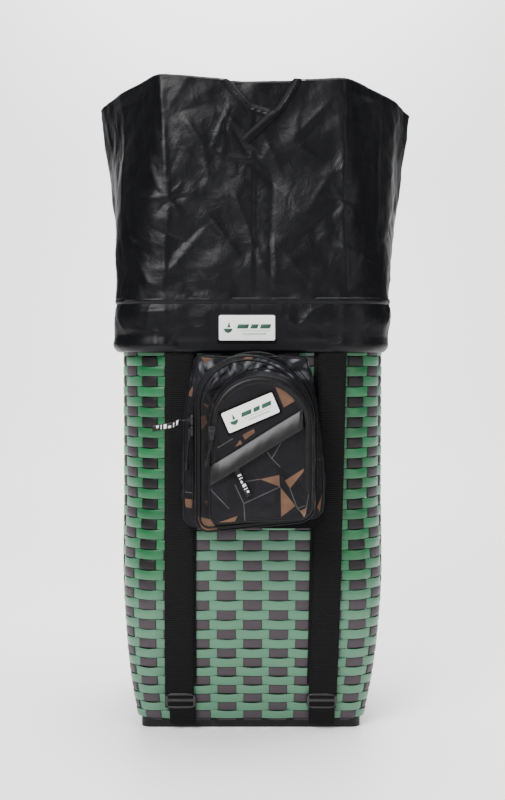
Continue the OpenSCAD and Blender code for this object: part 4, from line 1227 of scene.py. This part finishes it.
stage = {"floor": (0.93, 0.93, 0.925), "world": 0.12, "key": 112.0, "fill": 18.0, "top": 84.0, "low": 6.0,
         "back": 240.0, "glow": 0.2}


def makeStage():
    reach, backY, rise = 5.5, 4.6, 4.0
    turn = np.linspace(0, np.pi / 2, 14)
    profile = np.concatenate([[[-5.5, 0.0]],
                              np.stack([backY - 1.4 + 1.4 * np.sin(turn), 1.4 - 1.4 * np.cos(turn)], -1),
                              [[backY, rise]]])
    points = np.stack([np.stack([np.full(len(profile), x), profile[:, 0], profile[:, 1] - 0.0005], -1)
                       for x in (-reach, reach)], 1)
    material, tree, shader, where = newMaterial("floorPaper", stage["floor"], 0.5)
    grain = addNode(tree, "TexNoise", {"Vector": where.outputs["Object"], "Scale": 400.0})
    addBump(tree, shader, grain.outputs["Fac"], 0.0001, 0.2)
    shader.inputs["Emission Color"].default_value = (1, 1, 1, 1)
    shader.inputs["Emission Strength"].default_value = stage["glow"]
    for side in (-1, 1):   # dark cards beside the collar, seen only in reflections
        y, z = np.meshgrid([-0.7, 1.4], [0.5, 1.5])
        card = buildMesh("card" + ("Left" if side < 0 else "Right"),
                         np.stack([side * 0.9 + y * 0, y, z], -1), False, False, None, None, rodPlastic,
                         flip=False)
        card.visible_camera = card.visible_diffuse = card.visible_shadow = False
    buildMesh("floor", points, False, False, None, None, material, flip=False)
    world = bpy.data.worlds.new("studio")
    bpy.context.scene.world = world
    world.use_nodes = True
    world.node_tree.nodes["Background"].inputs[0].default_value = (1, 1, 1, 1)
    ray = addNode(world.node_tree, "LightPath")   # seen directly, the surroundings are as pale as the floor
    glow = addNode(world.node_tree, "MapRange",
                   {"Value": ray.outputs["Is Camera Ray"], "To Min": stage["world"], "To Max": 0.72})
    world.node_tree.links.new(glow.outputs[0], world.node_tree.nodes["Background"].inputs[1])
    for name, place, aim, size, power in (("key", (-1.1, -2.0, 2.1), (0, 0, 0.5), 1.3, stage["key"]),
                                          ("fill", (1.9, -1.5, 1.0), (0, 0, 0.45), 1.2, stage["fill"]),
                                          ("top", (0.2, 0.1, 2.3), (0, 0, 0.5), 1.4, stage["top"]),
                                          ("low", (0, -2.2, 0.25), (0, 0, 0.4), 1.6, stage["low"]),
                                          ("back", (0, 2.9, 3.4), (0, 4.2, 0.6), 2.4, stage["back"])):
        light = bpy.data.lights.new(name, "AREA")
        light.shape, light.size, light.energy = "SQUARE", size, power
        lamp = bpy.data.objects.new(name, light)
        bpy.context.scene.collection.objects.link(lamp)
        lamp.location = place
        toward = np.array(aim) - np.array(place)
        toward /= np.linalg.norm(toward)
        lamp.rotation_euler = (math.acos(-toward[2]), 0, math.atan2(toward[0], -toward[1]) + math.pi)


def makeCamera():
    data = bpy.data.cameras.new("camera")
    data.sensor_width, data.lens, data.clip_end = 36.0, 59.8, 50.0
    camera = bpy.data.objects.new("camera", data)
    bpy.context.scene.collection.objects.link(camera)
    camera.location = (0, -1.85, 0.506)
    camera.rotation_euler = (math.radians(90 - 2.5), 0, 0)
    bpy.context.scene.camera = camera


makeStage()
makeCamera()
print("stage set")
